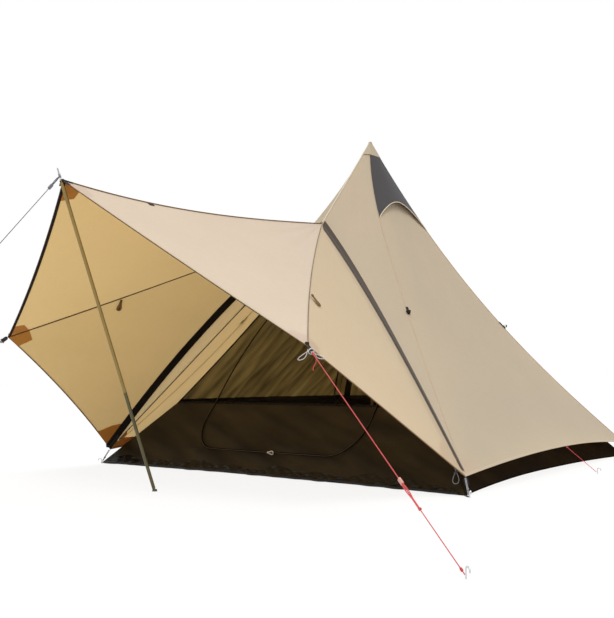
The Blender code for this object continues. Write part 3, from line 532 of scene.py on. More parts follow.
ZIP = hard_material("brown_zip", srgb(50, 36, 22), 0.0, 0.5, 120)
PULL = hard_material("pale_pull", srgb(188, 180, 160), 0.6, 0.45, 120)
PALE_THREAD, BROWN_THREAD, DARK_THREAD = (
    hard_material(f"{tone}_thread", srgb(*colour), 0.0, 0.9, 200, 0.2, 0.4)
    for tone, colour in (("pale", (186, 166, 132)), ("brown", (96, 72, 44)),
                         ("dark", (58, 50, 43))))
print("materials:", len(bpy.data.materials))


# %% [markdown]
# ## Two ways to make a piece by hand
# Lines, piping and straps are one small section carried along a path. Bindings, patches and
# facings are thin slabs: a grid of points with a thickness. Both write a UV map in metres, so
# a braid or a weave has the same size wherever it is used.

# %% Adding a piece, and writing its mesh
def add_piece(name, mesh, material, body="tent"):
    mesh.materials.append(material)
    obj = bpy.data.objects.new(name, mesh)
    bpy.context.scene.collection.objects.link(obj)
    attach(obj, body)
    return obj


def outward_mesh(name, points, faces, uvs, smooth_angle):
    """A closed mesh whose faces look out. uvs has one pair for each corner of each face."""
    bm = bmesh.new()
    layer = bm.loops.layers.uv.new("UVMap")
    verts = [bm.verts.new(p) for p in points]
    for face, pairs in zip(faces, uvs):
        made = bm.faces.new([verts[k] for k in face])
        for loop, pair in zip(made.loops, pairs):
            loop[layer].uv = pair
    bmesh.ops.recalc_face_normals(bm, faces=bm.faces)
    mesh = bpy.data.meshes.new(name)
    bm.to_mesh(mesh)
    bm.free()
    mesh.shade_smooth()
    mesh.set_sharp_from_angle(angle=smooth_angle)
    return mesh


# %% Sweeping a section along a path
def directions(points):
    points = np.array(points, float)
    ends = np.vstack([points[:1], points, points[-1:]])
    return points, [unit(b - a) for a, b in zip(ends[:-2], ends[2:])]


def carried_up(tangents):
    """An up direction that turns no more than the path makes it."""
    up = UP if abs(tangents[0][2]) < 0.9 else np.array([0, 1.0, 0])
    ups = []
    for tangent in tangents:
        up = unit(up - tangent * (up @ tangent))
        ups.append(up)
    return ups


def swept(name, path, section, material, slot, ups=None, closed=False, body="tent", angle=0.7):
    """section is a ring of (side, up) pairs in metres. A closed path has no end caps."""
    points, tangents = directions(path)
    if closed:
        tangents = [unit(points[(k + 1) % len(points)] - points[k - 1])
                    for k in range(len(points))]
    ups = carried_up(tangents) if ups is None else ups
    ring, count = len(section), len(points)
    verts, along = [], [0.0]
    for k, (point, tangent, up) in enumerate(zip(points, tangents, ups)):
        up = unit(up - tangent * (up @ tangent))
        side = np.cross(tangent, up)
        verts += [point + side * a + up * b for a, b in section]
        along.append(along[-1] + (span(point, points[k + 1]) if k + 1 < count else 0.0))
    girth = [0.0]
    for k in range(ring):
        girth.append(girth[-1] + span(section[k], section[(k + 1) % ring]))
    faces, uvs = [], []
    for k in range(count if closed else count - 1):
        n = (k + 1) % count
        shift = 0
        if closed and n == 0:
            first = [verts[j] for j in range(ring)]
            shift = min(range(ring), key=lambda s: span(first[s], verts[k * ring]))
        for j in range(ring):
            m = (j + 1) % ring
            faces.append((k * ring + j, k * ring + m, n * ring + (m + shift) % ring,
                          n * ring + (j + shift) % ring))
            uvs.append([(girth[j], along[k]), (girth[j + 1], along[k]),
                        (girth[j + 1], along[k + 1]), (girth[j], along[k + 1])])
    if not closed:
        for base in (0, (count - 1) * ring):
            faces.append(tuple(base + j for j in range(ring)))
            uvs.append([tuple(p) for p in section])
    mesh = outward_mesh(name, verts, faces, uvs, angle)
    return add_piece(name, mesh, material, body)


# %% Sections, tubes, knots and coils
def round_section(radius, sides=10, flat=1.0):
    return [(radius * math.cos(TURN * k / sides), flat * radius * math.sin(TURN * k / sides))
            for k in range(sides)]


def strap_section(width, thick):
    w, t = width / 2, thick / 2
    return [(-w, 0), (-w + t, t), (w - t, t), (w, 0), (w - t, -t), (-w + t, -t)]


def tube(name, path, radius, material, slot, sides=10, **more):
    return swept(name, path, round_section(radius, sides), material, slot, angle=1.2, **more)


def around(axis):
    """The axis as a unit vector, with two directions across it."""
    axis = unit(np.array(axis, float))
    side = unit(np.cross(axis, UP if abs(axis[2]) < 0.9 else (0, 1.0, 0)))
    return axis, side, np.cross(side, axis)


def knot(name, centre, axis, size, radius, material, slot):
    """An overhand knot pulled tight: a closed curve that passes three times through itself."""
    axis, side, up = around(axis)
    path = []
    for k in range(36):
        a = TURN * k / 36
        x, y, z = (math.sin(a) + 2 * math.sin(2 * a), math.cos(a) - 2 * math.cos(2 * a),
                   -math.sin(3 * a))
        path.append(centre + (side * x + up * y) * (size / 6) + axis * (z * size / 4))
    return tube(name, path, radius, material, slot, 8, closed=True)


def coil(name, centre, axis, radius, turns, cord_radius, material, slot, body="tent"):
    """A cord wound round something, its turns lying side by side."""
    axis, side, up = around(axis)
    path = []
    for k in range(12 * turns + 1):
        a = TURN * k / 12
        path.append(centre + (side * math.cos(a) + up * math.sin(a)) * radius
                    + axis * ((k / 12 - turns / 2) * 2.1 * cord_radius))
    return tube(name, path, cord_radius, material, slot, 8, body=body)


# %% Slabs on a grid
def grid_uvs(points, columns, rows):
    """UV pairs in metres for a grid: across its rows, and down its middle."""
    at = lambda i, j: points[j * (columns + 1) + i]
    uv, down = [], 0.0
    for j in range(rows + 1):
        if j:
            down += span(at(columns // 2, j), at(columns // 2, j - 1))
        half = span(at(0, j), at(columns, j)) / 2
        uv += [((2 * i / columns - 1) * half, down) for i in range(columns + 1)]
    return uv


def grid_quads(columns, rows):
    wide = columns + 1
    return [(j * wide + i, j * wide + i + 1, (j + 1) * wide + i + 1, (j + 1) * wide + i)
            for j in range(rows) for i in range(columns)]


def slab(name, at, columns, rows, thick, material):
    """at(a, b) gives a point and the direction that the slab grows in, for shares a and b."""
    base, top = [], []
    for j in range(rows + 1):
        for i in range(columns + 1):
            point, out = at(i / columns, j / rows)
            base.append(np.array(point))
            top.append(point + np.array(out) * thick)
    uv, wide = grid_uvs(base, columns, rows), columns + 1
    count, quads = len(base), grid_quads(columns, rows)
    rim = list(range(columns)) + [j * wide + columns for j in range(rows)]
    rim += [rows * wide + i for i in range(columns, 0, -1)]
    rim += [j * wide for j in range(rows, 0, -1)]
    faces = quads + [tuple(k + count for k in q) for q in quads]
    faces += [(a, b, b + count, a + count) for a, b in zip(rim, rim[1:] + rim[:1])]
    uvs = [[uv[k % count] for k in face] for face in faces]
    mesh = outward_mesh(name, base + top, faces, uvs, 0.9)
    return add_piece(name, mesh, material)


# %% [markdown]
# ## Lines first
# The lines keep the routes that the solids have: each is pulled tight, so it is straight. The
# long red one leaves the awning's corner, runs through a slider and hooks on its peg. Below
# the slider it lies in three strands, as far as the knot. The two front lines run on out of
# the picture and end in an eye there.

# %% Routes of the lines
def line_between(start, end, count):
    start, end = np.array(start, float), np.array(end, float)
    return [start + (end - start) * (k / (count - 1)) for k in range(count)]


def path_length(path):
    return sum(span(a, b) for a, b in zip(path, path[1:]))


def end_eye(path):
    """The eye knotted into a line's end, laid back along the line."""
    length, width, gap, steps = 0.055, 0.020, 0.0036, 14
    end = path[-1]
    along = unit(end - path[0])
    side = unit(np.cross(along, UP))
    turned = []
    for k in range(1, steps + 1):
        s = k / steps
        out = length * math.sin(math.pi * s)
        wave = math.sin(TURN * s) * math.sin(math.pi * s) / 0.77
        turned.append(end + along * out + side * (width / 2 * wave - gap * s * s))
    return turned


LINE = 0.0019
WALK = 0.003 + 0.055 + 0.0005    # past the corner, its webbing tab and a gap
HITCH_HEIGHT, HITCH_SHORT = 0.012, 0.0065    # a line ends this high, and this far before its peg
GUY_PEG = np.array([2.309, -3.186, 0])
guy_run = unit(GUY_PEG - wing_corner(1))
guy_flat = unit(guy_run * (1, 1, 0))
guy_right_path = line_between(wing_corner(1) + guy_run * WALK,
                              GUY_PEG + UP * HITCH_HEIGHT - guy_flat * HITCH_SHORT, 20)
left_run = unit(np.array([-1.11, -0.55, -0.80]))
guy_left_path = line_between(wing_corner(-1) + left_run * WALK,
                             wing_corner(-1) + left_run * 0.24, 5)
pole_top = POLE_FOOT + POLE_UP * (span(POLE_FOOT, TIP) + 0.02)
pole_run = unit(np.array([0, -4.435, 0]) - pole_top)
guy_pole_path = line_between(pole_top + pole_run * 0.005, pole_top + pole_run * 0.62, 12)
side_hem, side_peg = np.array([1.53, 0, 0.175]), np.array([1.74, 0, 0])
side_run = unit(side_peg - side_hem)
side_path = line_between(side_hem + side_run * 0.0045,
                         side_peg + (-HITCH_SHORT, 0, HITCH_HEIGHT), 15)


def corner_peg(across, forward):
    return fly_corner(across, forward) * (1, 1, 0) + (across * 0.045, forward * 0.045, 0)


def elastic_path(side):
    """From the end of a corner's tab to its peg."""
    corner, peg = fly_corner(side, -1), corner_peg(side, -1)
    tab_end = corner + unit(peg - corner) * 0.058
    out = unit(peg - tab_end * (1, 1, 0))
    end = peg + (0, 0, HITCH_HEIGHT) - out * 0.0058
    return line_between(tab_end + unit(end - tab_end) * 0.0025, end, 15)


print("red line:", round(path_length(guy_right_path), 3), "m, pole line:",
      round(path_length(guy_pole_path), 3), "m")


# %% Making a line
def free_line(name, node, path, radius, material, slot, far_end, lay="taut", extras=()):
    obj = tube(name, path, radius, material, slot)
    if node:
        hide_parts(node)
    round(path_length(path), 4)


# %% The red line and its strands
RED, GREY = (RED_LINE, "red_line"), (GUY_LINE, "grey_line")
RUNNER_SHARE, STRAND_START, STRAND_END = 0.67, 0.016, 0.155
runner_at = guy_right_path[0] + (guy_right_path[-1] - guy_right_path[0]) * RUNNER_SHARE
side_way = unit(np.cross(guy_run, UP))
second_strand = [runner_at + guy_run * (STRAND_START + (STRAND_END - STRAND_START) * k / 14)
                 + side_way * (0.0040 * math.sin(math.pi * min(1, k / 9 + 0.12)) + 0.0024)
                 for k in range(15)]
# the third one mirrors the second in the line between them
third_strand = [2 * (runner_at + guy_run * ((p - runner_at) @ guy_run)) - p
                for p in second_strand]
red_extras = [
    tube("guy_right_second_strand", second_strand, LINE, *RED),
    tube("guy_right_third_strand", third_strand, LINE, *RED),
    knot("guy_right_knot", runner_at + guy_run * STRAND_END, guy_run, 0.011, LINE, *RED),
    coil("guy_right_hitch", guy_right_path[0] + guy_run * 0.012, guy_run, 0.0034, 4, LINE, *RED),
    coil("guy_right_peg_hitch", guy_right_path[-1] - guy_run * 0.022, guy_run, 0.0032, 3, LINE,
         *RED)]
free_line("guy_right_line", "guy_right", guy_right_path, LINE, *RED, "object",
          extras=red_extras)
print("strands, knot and hitches of the red line:", len(red_extras))


# %% The two front lines and the side line
for name, path, run in (("guy_left", guy_left_path, left_run),
                        ("guy_pole", guy_pole_path, pole_run)):
    extras = [knot(name + "_line_knot", path[-1] - run * 0.004, run, 0.010, LINE, *GREY)]
    if name == "guy_pole":
        across = unit(np.cross(run, UP)) * 0.6 + UP * 0.8
        for word, way in (("second", 1), ("third", -0.7)):
            strand = [path[0] + run * (0.078 * s)
                      + across * (0.0066 * way * math.sin(math.pi * s) ** 0.5)
                      for s in np.linspace(0, 1, 15)]
            extras.append(tube(f"guy_pole_{word}_strand", strand, LINE, *GREY))
    free_line(name + "_line", name, path + end_eye(path), LINE, *GREY, "knot", extras=extras)
side_knot = knot("side_guy_knot", side_path[0] + side_run * 0.008, side_run, 0.010, LINE, *RED)
free_line("side_guy_line", "side_guy_right", side_path, LINE, *RED, "object", extras=[side_knot])
print("side line:", round(path_length(side_path), 3), "m")


# %% Elastics at the front corners
ELASTIC, ELASTIC_OVER = 0.002, 0.0022    # radius of the strands, and of those over the webbing
for word, side in SIDES:
    name, path = f"corner_elastic_{word}", elastic_path(side)
    # the far elastic takes the dark cord: painted shade, as it is the same grey elastic as the
    # near one, seen in shade
    look = (GREY_LINE if side > 0 else DARK_LINE, "grey_line")
    run, front_way = path[-1] - path[0], np.array([0.6 * side, -0.8, 0])
    beside = unit(np.cross(run, front_way)) * 0.0045
    corner = fly_corner(side, -1)
    over = [corner + (path[0] - corner) * s + front_way * 0.006
            for s in np.linspace(0.1, 1.25, 8)]
    extras = [coil(name + "_hitch", path[0] + run * 0.2, run, 0.0056, 2, 0.0012, *look),
              tube(name + "_second", [p + beside for p in path[:-1]], ELASTIC, *look),
              tube(name + "_over", over, ELASTIC_OVER, *look),
              tube(name + "_over_second", [p + beside * 1.1 for p in over], ELASTIC_OVER, *look)]
    if side < 0:
        strap = [p + front_way * 0.004 for p in path[:11]]
        extras.append(swept(name + "_strap", strap, strap_section(0.015, 0.002), WEBBING,
                            "dark_trim", [front_way] * len(strap)))
    free_line(name + "_line", name, path, ELASTIC, *look, "object", extras=extras)
    print(name, round(path_length(path), 3), "m")


# %% Small loose loops
VIEW_SIDE = np.array([0.80, 0.60, 0])    # across the camera's view


def hanging_loop(name, start, drop, length, radius, material, lean, finish):
    """A loop of cord that hangs from two points close together, opened across the view."""
    start, drop, side = np.array(start), unit(np.array(drop, float)), unit(VIEW_SIDE)
    path = []
    for k in range(25):
        s = k / 24
        deep = math.sin(math.pi * s) ** 0.8
        wide = math.sin(TURN * s) * lean * (1 - 0.3 * s)
        path.append(start + drop * (length / 2.3 * deep)
                    + side * (length / 4 * wide + finish * s))
    free_line(name, None, path, radius, material, "grey_line", "object", "hanging")


corner = wing_corner(1)
hanging_loop("loop_wing_right", corner + (0, 0, -0.012), (-0.55, -0.40, -0.75), 0.16, 0.0016,
             WHITE_LINE, 0.5, 0.012)
hanging_loop("loop_wing_right_short", corner + guy_run * 0.05 + (0, 0, -0.004), (0.6, 0.45, -0.5),
             0.12, 0.0016, WHITE_LINE, 0.8, 0.014)
hanging_loop("loop_corner_right", fly_corner(1, -1) + (-0.06, -0.015, 0.055), (0.02, -0.06, -1),
             0.22, 0.0017, GREY_LINE, 0.45, 0.018)
tail_start = guy_right_path[0] + guy_run * 0.018
tail = [tail_start + np.array([0.10, 0.05, -1]) * (0.075 * s)
        + VIEW_SIDE * (0.010 * math.sin(5 * s)) for s in np.linspace(0, 1, 15)]
free_line("guy_right_tail", None, tail, LINE, *RED, "bare", "hanging")


# %% [markdown]
# ## A panel as a rule
# Every cloth panel is ruled: a straight thread runs from a point on one edge to the matching
# point on the other. `Panel` keeps that rule, so that a point, an outward direction or a path
# on any panel can be asked for later, when hems and stitches are laid on it. Once the panel
# has been sewn, it also remembers the folded surface, so a patch follows every fold.

# %% A ruled panel
class Panel:
    def __init__(self, left, right, start=0.0, end=1.0, belly=(0, 0, 0), outward=(0, 0, 1)):
        self.left, self.right, self.start, self.end = left, right, start, end
        self.belly, self.outward = np.array(belly, float), np.array(outward, float)
        self.surface = None

    def at(self, u, s):
        """The point at u across and s down, both from 0 to 1."""
        t = self.start + (self.end - self.start) * s
        a, b = self.left(t), self.right(t)
        return a + (b - a) * u + self.belly * (4 * u * (1 - u) * t * t)

    def normal(self, u, s):
        step = 0.004
        u, s = min(max(u, 2 * step), 1 - 2 * step), min(max(s, 2 * step), 1 - 2 * step)
        across = self.at(u + step, s) - self.at(u - step, s)
        down = self.at(u, s + step) - self.at(u, s - step)
        n = unit(np.cross(across, down))
        return n if n @ self.outward > 0 else -n

    def on(self, u, s, lift=0.0):
        """A point on the sewn cloth, folds and all, lifted off its outer side."""
        point, n = self.at(u, s), self.normal(u, s)
        if self.surface:
            hit = self.surface.ray_cast(Vector(point + n * 0.06), Vector(-n), 0.12)[0]
            if hit is not None:
                point = np.array(hit)
        return point + n * lift

    def near(self, edge, b, reach):
        """The shares (u, s) of a spot at b along an edge, and a distance in from it."""
        if edge == "hem":
            return b, 1 - reach / self.length(b)
        share = min(reach / max(self.width(b), 1e-6), 0.49)
        return (share if edge == "left" else 1 - share), b

    def width(self, s):
        return span(self.at(0, s), self.at(1, s))

    def length(self, u=0.5):
        parts = 12
        return sum(span(self.at(u, k / parts), self.at(u, (k + 1) / parts))
                   for k in range(parts))


# %% The rule of every panel of this tent
PANELS = {"fly_back_panel": Panel(hip(-1, 1), hip(1, 1), 0.004, 1, (0, 0.03, 0.07), (0, 1, 0.6))}
for word, side in SIDES:
    out = (side, 0, 0.6)
    PANELS[f"fly_{word}_panel"] = Panel(hip(side, -1), hip(side, 1), 0.118, 1,
                                        (0.03 * side, 0, 0.07), out)
    PANELS[f"peak_{word}"] = Panel(hip(side, -1), hip(side, 1), 0.002, 0.036, outward=out)
    PANELS[f"vent_mesh_{word}"] = Panel(hip(side, -1), hip(side, 1), 0.03, 0.12, outward=out)
    PANELS[f"front_panel_{word}"] = Panel(
        lambda t, e=hip(side, -1): e(1 - t), lambda t, e=door_edge(side): e(1 - t),
        outward=(0.3 * side, -1, 0.6))
    PANELS[f"awning_roof_{word}"] = Panel(AWNING_RIDGE, awning_seam(side), 0.0, 1,
                                          mirrored((-0.02, 0.013, 0), side), (0.6 * side, 0, 1))
    PANELS[f"awning_wing_{word}"] = Panel(awning_seam(side), door_edge(side), 0.0, 1,
                                          mirrored((-0.025, 0.012, 0.014), side),
                                          (side, -0.3, 0.6))
    PANELS[f"door_strip_{word}"] = Panel(door_edge(side), door_chord(side), 0.045, 0.965,
                                         outward=(-side, -1, 0.6))
INNER_SIDES = {
    "front": ((-1, -1), (1, -1), FRONT_BOW), "right": ((1, -1), (1, 1), SIDE_BOW),
    "back": ((1, 1), (-1, 1), SIDE_BOW), "left": ((-1, 1), (-1, -1), SIDE_BOW)}
for word, (a, b, bow) in INNER_SIDES.items():
    middle = np.array([(a[0] + b[0]) / 2, (a[1] + b[1]) / 2, 0])
    upper = "inner_front_mesh" if word == "front" else f"inner_{word}_panel"
    PANELS[upper] = Panel(inner_hip(*a), inner_hip(*b), 0.03, 1, outward=middle + (0, 0, 0.5))
    PANELS[f"inner_{word}_wall"] = Panel(inner_wall_edge(*a), inner_wall_edge(*b), 0, 1,
                                         -middle * bow, middle + (0, 0, 0.5))
print("panels:", len(PANELS))


# %% [markdown]
# ## Sewing a panel with Geometry Nodes
# The tree starts from nothing but the points of two edges. It makes a flat grid, looks up the
# two edge points of each row, pulls the row straight between them, and adds the belly of the
# hem. Folds come last. One set is noise stretched along the pull of the cloth. The other fans
# out from the panel's top corner, where the pole lifts it. Both die away towards the seams,
# so neighbours still meet. The grid also stores a UV map in metres, which keeps the threads
# the same size on a large panel and on a small one.

# %% Helpers for geometry trees
def new_tree(name, inputs):
    tree = bpy.data.node_groups.new(name, "GeometryNodeTree")
    for way in ("INPUT", "OUTPUT"):
        tree.interface.new_socket("Geometry", in_out=way, socket_type="NodeSocketGeometry")
    add_inputs(tree, inputs)
    return tree, tree.nodes.new("NodeGroupInput").outputs, tree.nodes.new("NodeGroupOutput")


def whole(tree, value):
    return place(tree, "FunctionNodeFloatToInt", {0: value}, rounding_mode="ROUND").outputs[0]


def keep(tree, geometry, name, value, kind="FLOAT", domain="POINT"):
    return place(tree, "GeometryNodeStoreNamedAttribute",
                 {"Geometry": geometry, "Name": name, "Value": value},
                 data_type=kind, domain=domain).outputs[0]


def recall(tree, name, kind="FLOAT"):
    return place(tree, "GeometryNodeInputNamedAttribute", {"Name": name},
                 data_type=kind).outputs[0]


def hump(tree, value, power=1.0):
    """0 at both ends of 0 to 1, and 1 in the middle."""
    rest = minus(tree, 1.0, value)
    product = times(tree, times(tree, value, rest), 4.0)
    return math_node(tree, "POWER", math_node(tree, "MAXIMUM", product, 0.0), power)


def combined(tree, x=0.0, y=0.0, z=0.0):
    return place(tree, "ShaderNodeCombineXYZ", {0: x, 1: y, 2: z}).outputs[0]


def vector_math(tree, operation, first, second):
    return place(tree, "ShaderNodeVectorMath", {0: first, 1: second}, operation=operation)


def centred_noise(tree, vector, detail=1.5):
    noise = place(tree, "ShaderNodeTexNoise", {"Vector": vector, "Scale": 1.0, "Detail": detail})
    return math_node(tree, "MULTIPLY_ADD", noise.outputs[0], 2.0, -1.0)


def finished(tree, geometry, material, result):
    """What every tree ends with: real geometry, smooth, in its material."""
    smooth = place(tree, "GeometryNodeSetShadeSmooth", {"Geometry": geometry})
    real = place(tree, "GeometryNodeRealizeInstances", {"Geometry": smooth.outputs[0]})
    last = place(tree, "GeometryNodeSetMaterial",
                 {"Geometry": real.outputs[0], "Material": material})
    tree.links.new(last.outputs[0], result.inputs[0])


# %% The tree that sews a panel
def build_panel_tree():
    tree, given, result = new_tree("Sewn panel", [
        ("Rows", "Int", 40), ("Columns", "Int", 30), ("Start", "Float", 0.0),
        ("End", "Float", 1.0), ("Belly", "Vector", (0, 0, 0)), ("Length", "Float", 1.0),
        ("Fold height", "Float", 0.0), ("Fold width", "Float", 0.15),
        ("Fold length", "Float", 0.9), ("Fold angle", "Float", 0.0),
        ("Fan height", "Float", 0.0), ("Fan folds", "Float", 9.0), ("Seed", "Float", 0.0),
        ("Cloth", "Material", None)])
    one_more = [plus(tree, given[label], 1.0) for label in ("Columns", "Rows")]
    grid = place(tree, "GeometryNodeMeshGrid",
                 {"Size X": 1.0, "Size Y": 1.0, "Vertices X": whole(tree, one_more[0]),
                  "Vertices Y": whole(tree, one_more[1])})
    position = place(tree, "GeometryNodeInputPosition").outputs[0]
    flat = place(tree, "ShaderNodeSeparateXYZ", {0: position})
    mesh = keep(tree, grid.outputs[0], "across", plus(tree, flat.outputs[0], 0.5))
    mesh = keep(tree, mesh, "down", plus(tree, flat.outputs[1], 0.5))
    across, down = recall(tree, "across"), recall(tree, "down")

    # the left edge's points come first, then the right edge's
    row = times(tree, down, given["Rows"])
    far_row = plus(tree, row, one_more[1])
    ends = [place(tree, "GeometryNodeSampleIndex",
                  {"Geometry": given["Geometry"], "Value": position, "Index": whole(tree, n)},
                  data_type="FLOAT_VECTOR", domain="POINT").outputs[0] for n in (row, far_row)]
    thread = place(tree, "ShaderNodeMix", {0: across, 4: ends[0], 5: ends[1]},
                   data_type="VECTOR").outputs[1]
    share = minus(tree, given["End"], given["Start"])
    t = math_node(tree, "MULTIPLY_ADD", share, down, given["Start"])
    amount = times(tree, hump(tree, across), math_node(tree, "POWER", t, 2.0))
    belly = place(tree, "ShaderNodeVectorMath", {0: given["Belly"], "Scale": amount},
                  operation="SCALE").outputs[0]
    sewn = vector_math(tree, "ADD", thread, belly)
    mesh = keep(tree, mesh, "width", vector_math(tree, "DISTANCE", *ends).outputs["Value"])
    laid = place(tree, "GeometryNodeSetPosition",
                 {"Geometry": mesh, "Position": sewn.outputs[0]})

    # a UV map in metres
    cloth_u = times(tree, minus(tree, across, 0.5), recall(tree, "width"))
    uv = combined(tree, cloth_u, times(tree, down, given["Length"]))
    mesh = keep(tree, laid.outputs[0], "UVMap", uv, "FLOAT2", "CORNER")

    # long folds, then the fan below the peak
    turned = place(tree, "ShaderNodeVectorRotate", {"Vector": uv, "Angle": given["Fold angle"]},
                   rotation_type="Z_AXIS").outputs[0]
    size = combined(tree, given["Fold width"], given["Fold length"], 1.0)
    scaled = vector_math(tree, "DIVIDE", turned, size).outputs[0]
    shifted = vector_math(tree, "ADD", scaled, combined(tree, 0.0, 0.0, given["Seed"]))
    wave = centred_noise(tree, shifted.outputs[0])
    # the fold wave is kept as an attribute, which the materials read to paint highlight and shade
    # along the folds
    mesh = keep(tree, mesh, "fold", wave)
    fold = times(tree, times(tree, wave, given["Fold height"]), hump(tree, down, 0.6))
    rays = combined(tree, times(tree, across, given["Fan folds"]), times(tree, down, 1.2),
                    given["Seed"])
    fade = math_node(tree, "POWER", minus(tree, 1.0, down), 3.0)
    fade = times(tree, times(tree, fade, down), 9.0)
    fan = times(tree, times(tree, fade, given["Fan height"]), centred_noise(tree, rays, 0.0))
    push = times(tree, plus(tree, fold, fan), hump(tree, across, 0.6))
    normal = place(tree, "GeometryNodeInputNormal").outputs[0]
    push = place(tree, "ShaderNodeVectorMath", {0: normal, "Scale": push}, operation="SCALE")
    folded = place(tree, "GeometryNodeSetPosition",
                   {"Geometry": mesh, "Offset": push.outputs[0]})
    finished(tree, folded.outputs[0], given["Cloth"], result)
    return tree


SEW = build_panel_tree()
print("nodes in the panel tree:", len(SEW.nodes))


# %% Running a tree and keeping its plain mesh
def run_tree(name, start_mesh, tree, values):
    obj = bpy.data.objects.new(name, start_mesh)
    bpy.context.scene.collection.objects.link(obj)
    modifier = obj.modifiers.new("recipe", "NODES")
    modifier.node_group = tree
    for item in tree.interface.items_tree:
        if item.in_out == "INPUT" and item.name in values:
            modifier[item.identifier] = values[item.name]
    graph = bpy.context.evaluated_depsgraph_get()
    made = bpy.data.meshes.new_from_object(obj.evaluated_get(graph), depsgraph=graph)
    obj.modifiers.remove(modifier)
    obj.data = made
    made.name = name
    bpy.data.meshes.remove(start_mesh)
    return obj


def face_towards(obj, outward):
    """Turns the whole sheet over if its faces look the wrong way."""
    total = sum((Vector(p.normal) * p.area for p in obj.data.polygons), Vector())
    if total.dot(Vector(outward)) < 0:
        obj.data.flip_normals()


def area_of(obj):
    return sum(p.area for p in obj.data.polygons)


# %% [markdown]
# ## All the panels
# The fly is tight, so its folds stay under a centimetre. The inner tent hangs loosely from
# its peak, and its walls show long slanting folds that are a few centimetres deep.

# %% Sewing them
SHEETS = {}
TRIMS = {}


def sew(name, slot, material, rows=56, columns=40, replaces=True, **folds):
    panel = PANELS[name]
    ts = np.linspace(panel.start, panel.end, rows + 1)
    edge_mesh = bpy.data.meshes.new(name + "_edges")
    edge_mesh.from_pydata([panel.left(t) for t in ts] + [panel.right(t) for t in ts], [], [])
    values = {key.replace("_", " ").capitalize(): float(value) for key, value in folds.items()}
    obj = run_tree(name + "_cloth", edge_mesh, SEW, values | {
        "Rows": rows, "Columns": columns, "Start": panel.start, "End": panel.end,
        "Belly": tuple(panel.belly), "Length": panel.length(), "Cloth": material})
    face_towards(obj, panel.outward)
    mesh = obj.data
    panel.surface = BVHTree.FromPolygons([v.co for v in mesh.vertices],
                                         [tuple(p.vertices) for p in mesh.polygons])
    if replaces:
        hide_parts(name)
    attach(obj, "tent")
    SHEETS[name], TRIMS[name] = obj, []


for seed, (name, angle) in enumerate((("fly_back_panel", 0.2), ("fly_right_panel", 0.5),
                                      ("fly_left_panel", -0.5))):
    sew(name, "fly_cloth", FLY, fold_height=0.010, fold_width=0.45, fold_length=1.8,
        fold_angle=angle, fan_height=0.010, fan_folds=7, seed=seed)
for seed, (word, side) in enumerate(SIDES):
    sew(f"front_panel_{word}", "fly_cloth", FLY, fold_height=0.004, fold_width=0.35,
        fold_length=1.6, fold_angle=0.1 * side, seed=seed + 4)
    sew(f"peak_{word}", "fly_cloth", FLY, 8, 8, False)
    sew(f"door_strip_{word}", "fly_cloth", STRIP, 40, 8)
    sew(f"awning_roof_{word}", "awning_cloth", AWNING, fold_height=0.009, fold_width=0.40,
        fold_length=1.5, fold_angle=0.5 * side, fan_height=0.009, fan_folds=6, seed=seed + 21)
    sew(f"awning_wing_{word}", "awning_cloth", WING, fold_height=0.007, fold_width=0.30,
        fold_length=1.5, fold_angle=0.9 * side, fan_height=0.006, fan_folds=5, seed=seed + 25)
    sew(f"vent_mesh_{word}", "mesh_cloth", NETTING, 10, 10)
for seed, (word, angle) in enumerate((("back", 0.45), ("left", 0.45), ("right", -0.45))):
    sew(f"inner_{word}_panel", "inner_cloth", INNER, 110, 110, fold_height=0.050,
        fold_width=0.070, fold_length=0.50, fold_angle=angle, fan_height=0.016, fan_folds=16,
        seed=seed + 30)
sew("inner_front_mesh", "mesh_cloth", NETTING, fold_height=0.006, fold_width=0.3,
    fold_length=1.2, seed=40)
for seed, word in enumerate(INNER_SIDES):
    sew(f"inner_{word}_wall", "floor_cloth", TUB_FRONT if word == "front" else TUB, 30, 110,
        fold_height=0.022, fold_width=0.11, fold_length=0.60, fold_angle=1.2, seed=seed + 50)
print("sheets:", len(SHEETS), "area:", round(sum(map(area_of, SHEETS.values())), 1), "m2")


# %% [markdown]
# ## Hood, storm flap and floor
# These three don't lie between two edges, so they are plain grids over a function of two
# shares. The hood is the piece that takes the most skill in the cutting room: it leaves the
# hips flat, swells towards its lower rim, and the rim itself is cut in an arch, so that it
# stands open over the vent whichever way the wind blows.

# %% Grids from a function
def grid_sheet(name, node, at, columns, rows, material, outward):
    """at gives a point for shares u across and v down. The UV map is in metres."""
    points = [np.array(at(i / columns, j / rows), float)
              for j in range(rows + 1) for i in range(columns + 1)]
    mesh = bpy.data.meshes.new(name)
    mesh.from_pydata(points, [], grid_quads(columns, rows))
    uv = grid_uvs(points, columns, rows)
    layer = mesh.uv_layers.new(name="UVMap")
    for loop in mesh.loops:
        layer.data[loop.index].uv = uv[loop.vertex_index]
    mesh.shade_smooth()
    obj = add_piece(name, mesh, material)
    face_towards(obj, outward)
    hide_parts(node)
    SHEETS[node], TRIMS[node] = obj, []


# %% The shapes of the hood, the flap and the floor
def side_outward(side):
    a, b = hip(side, -1)(1) - PEAK, hip(side, 1)(1) - PEAK
    n = unit(np.cross(a, b))
    return n if n[0] * side > 0 else -n


HOOD_TOP, HOOD_RIM, HOOD_ARCH = 0.022, 0.217, 0.052    # shares of the hips' length


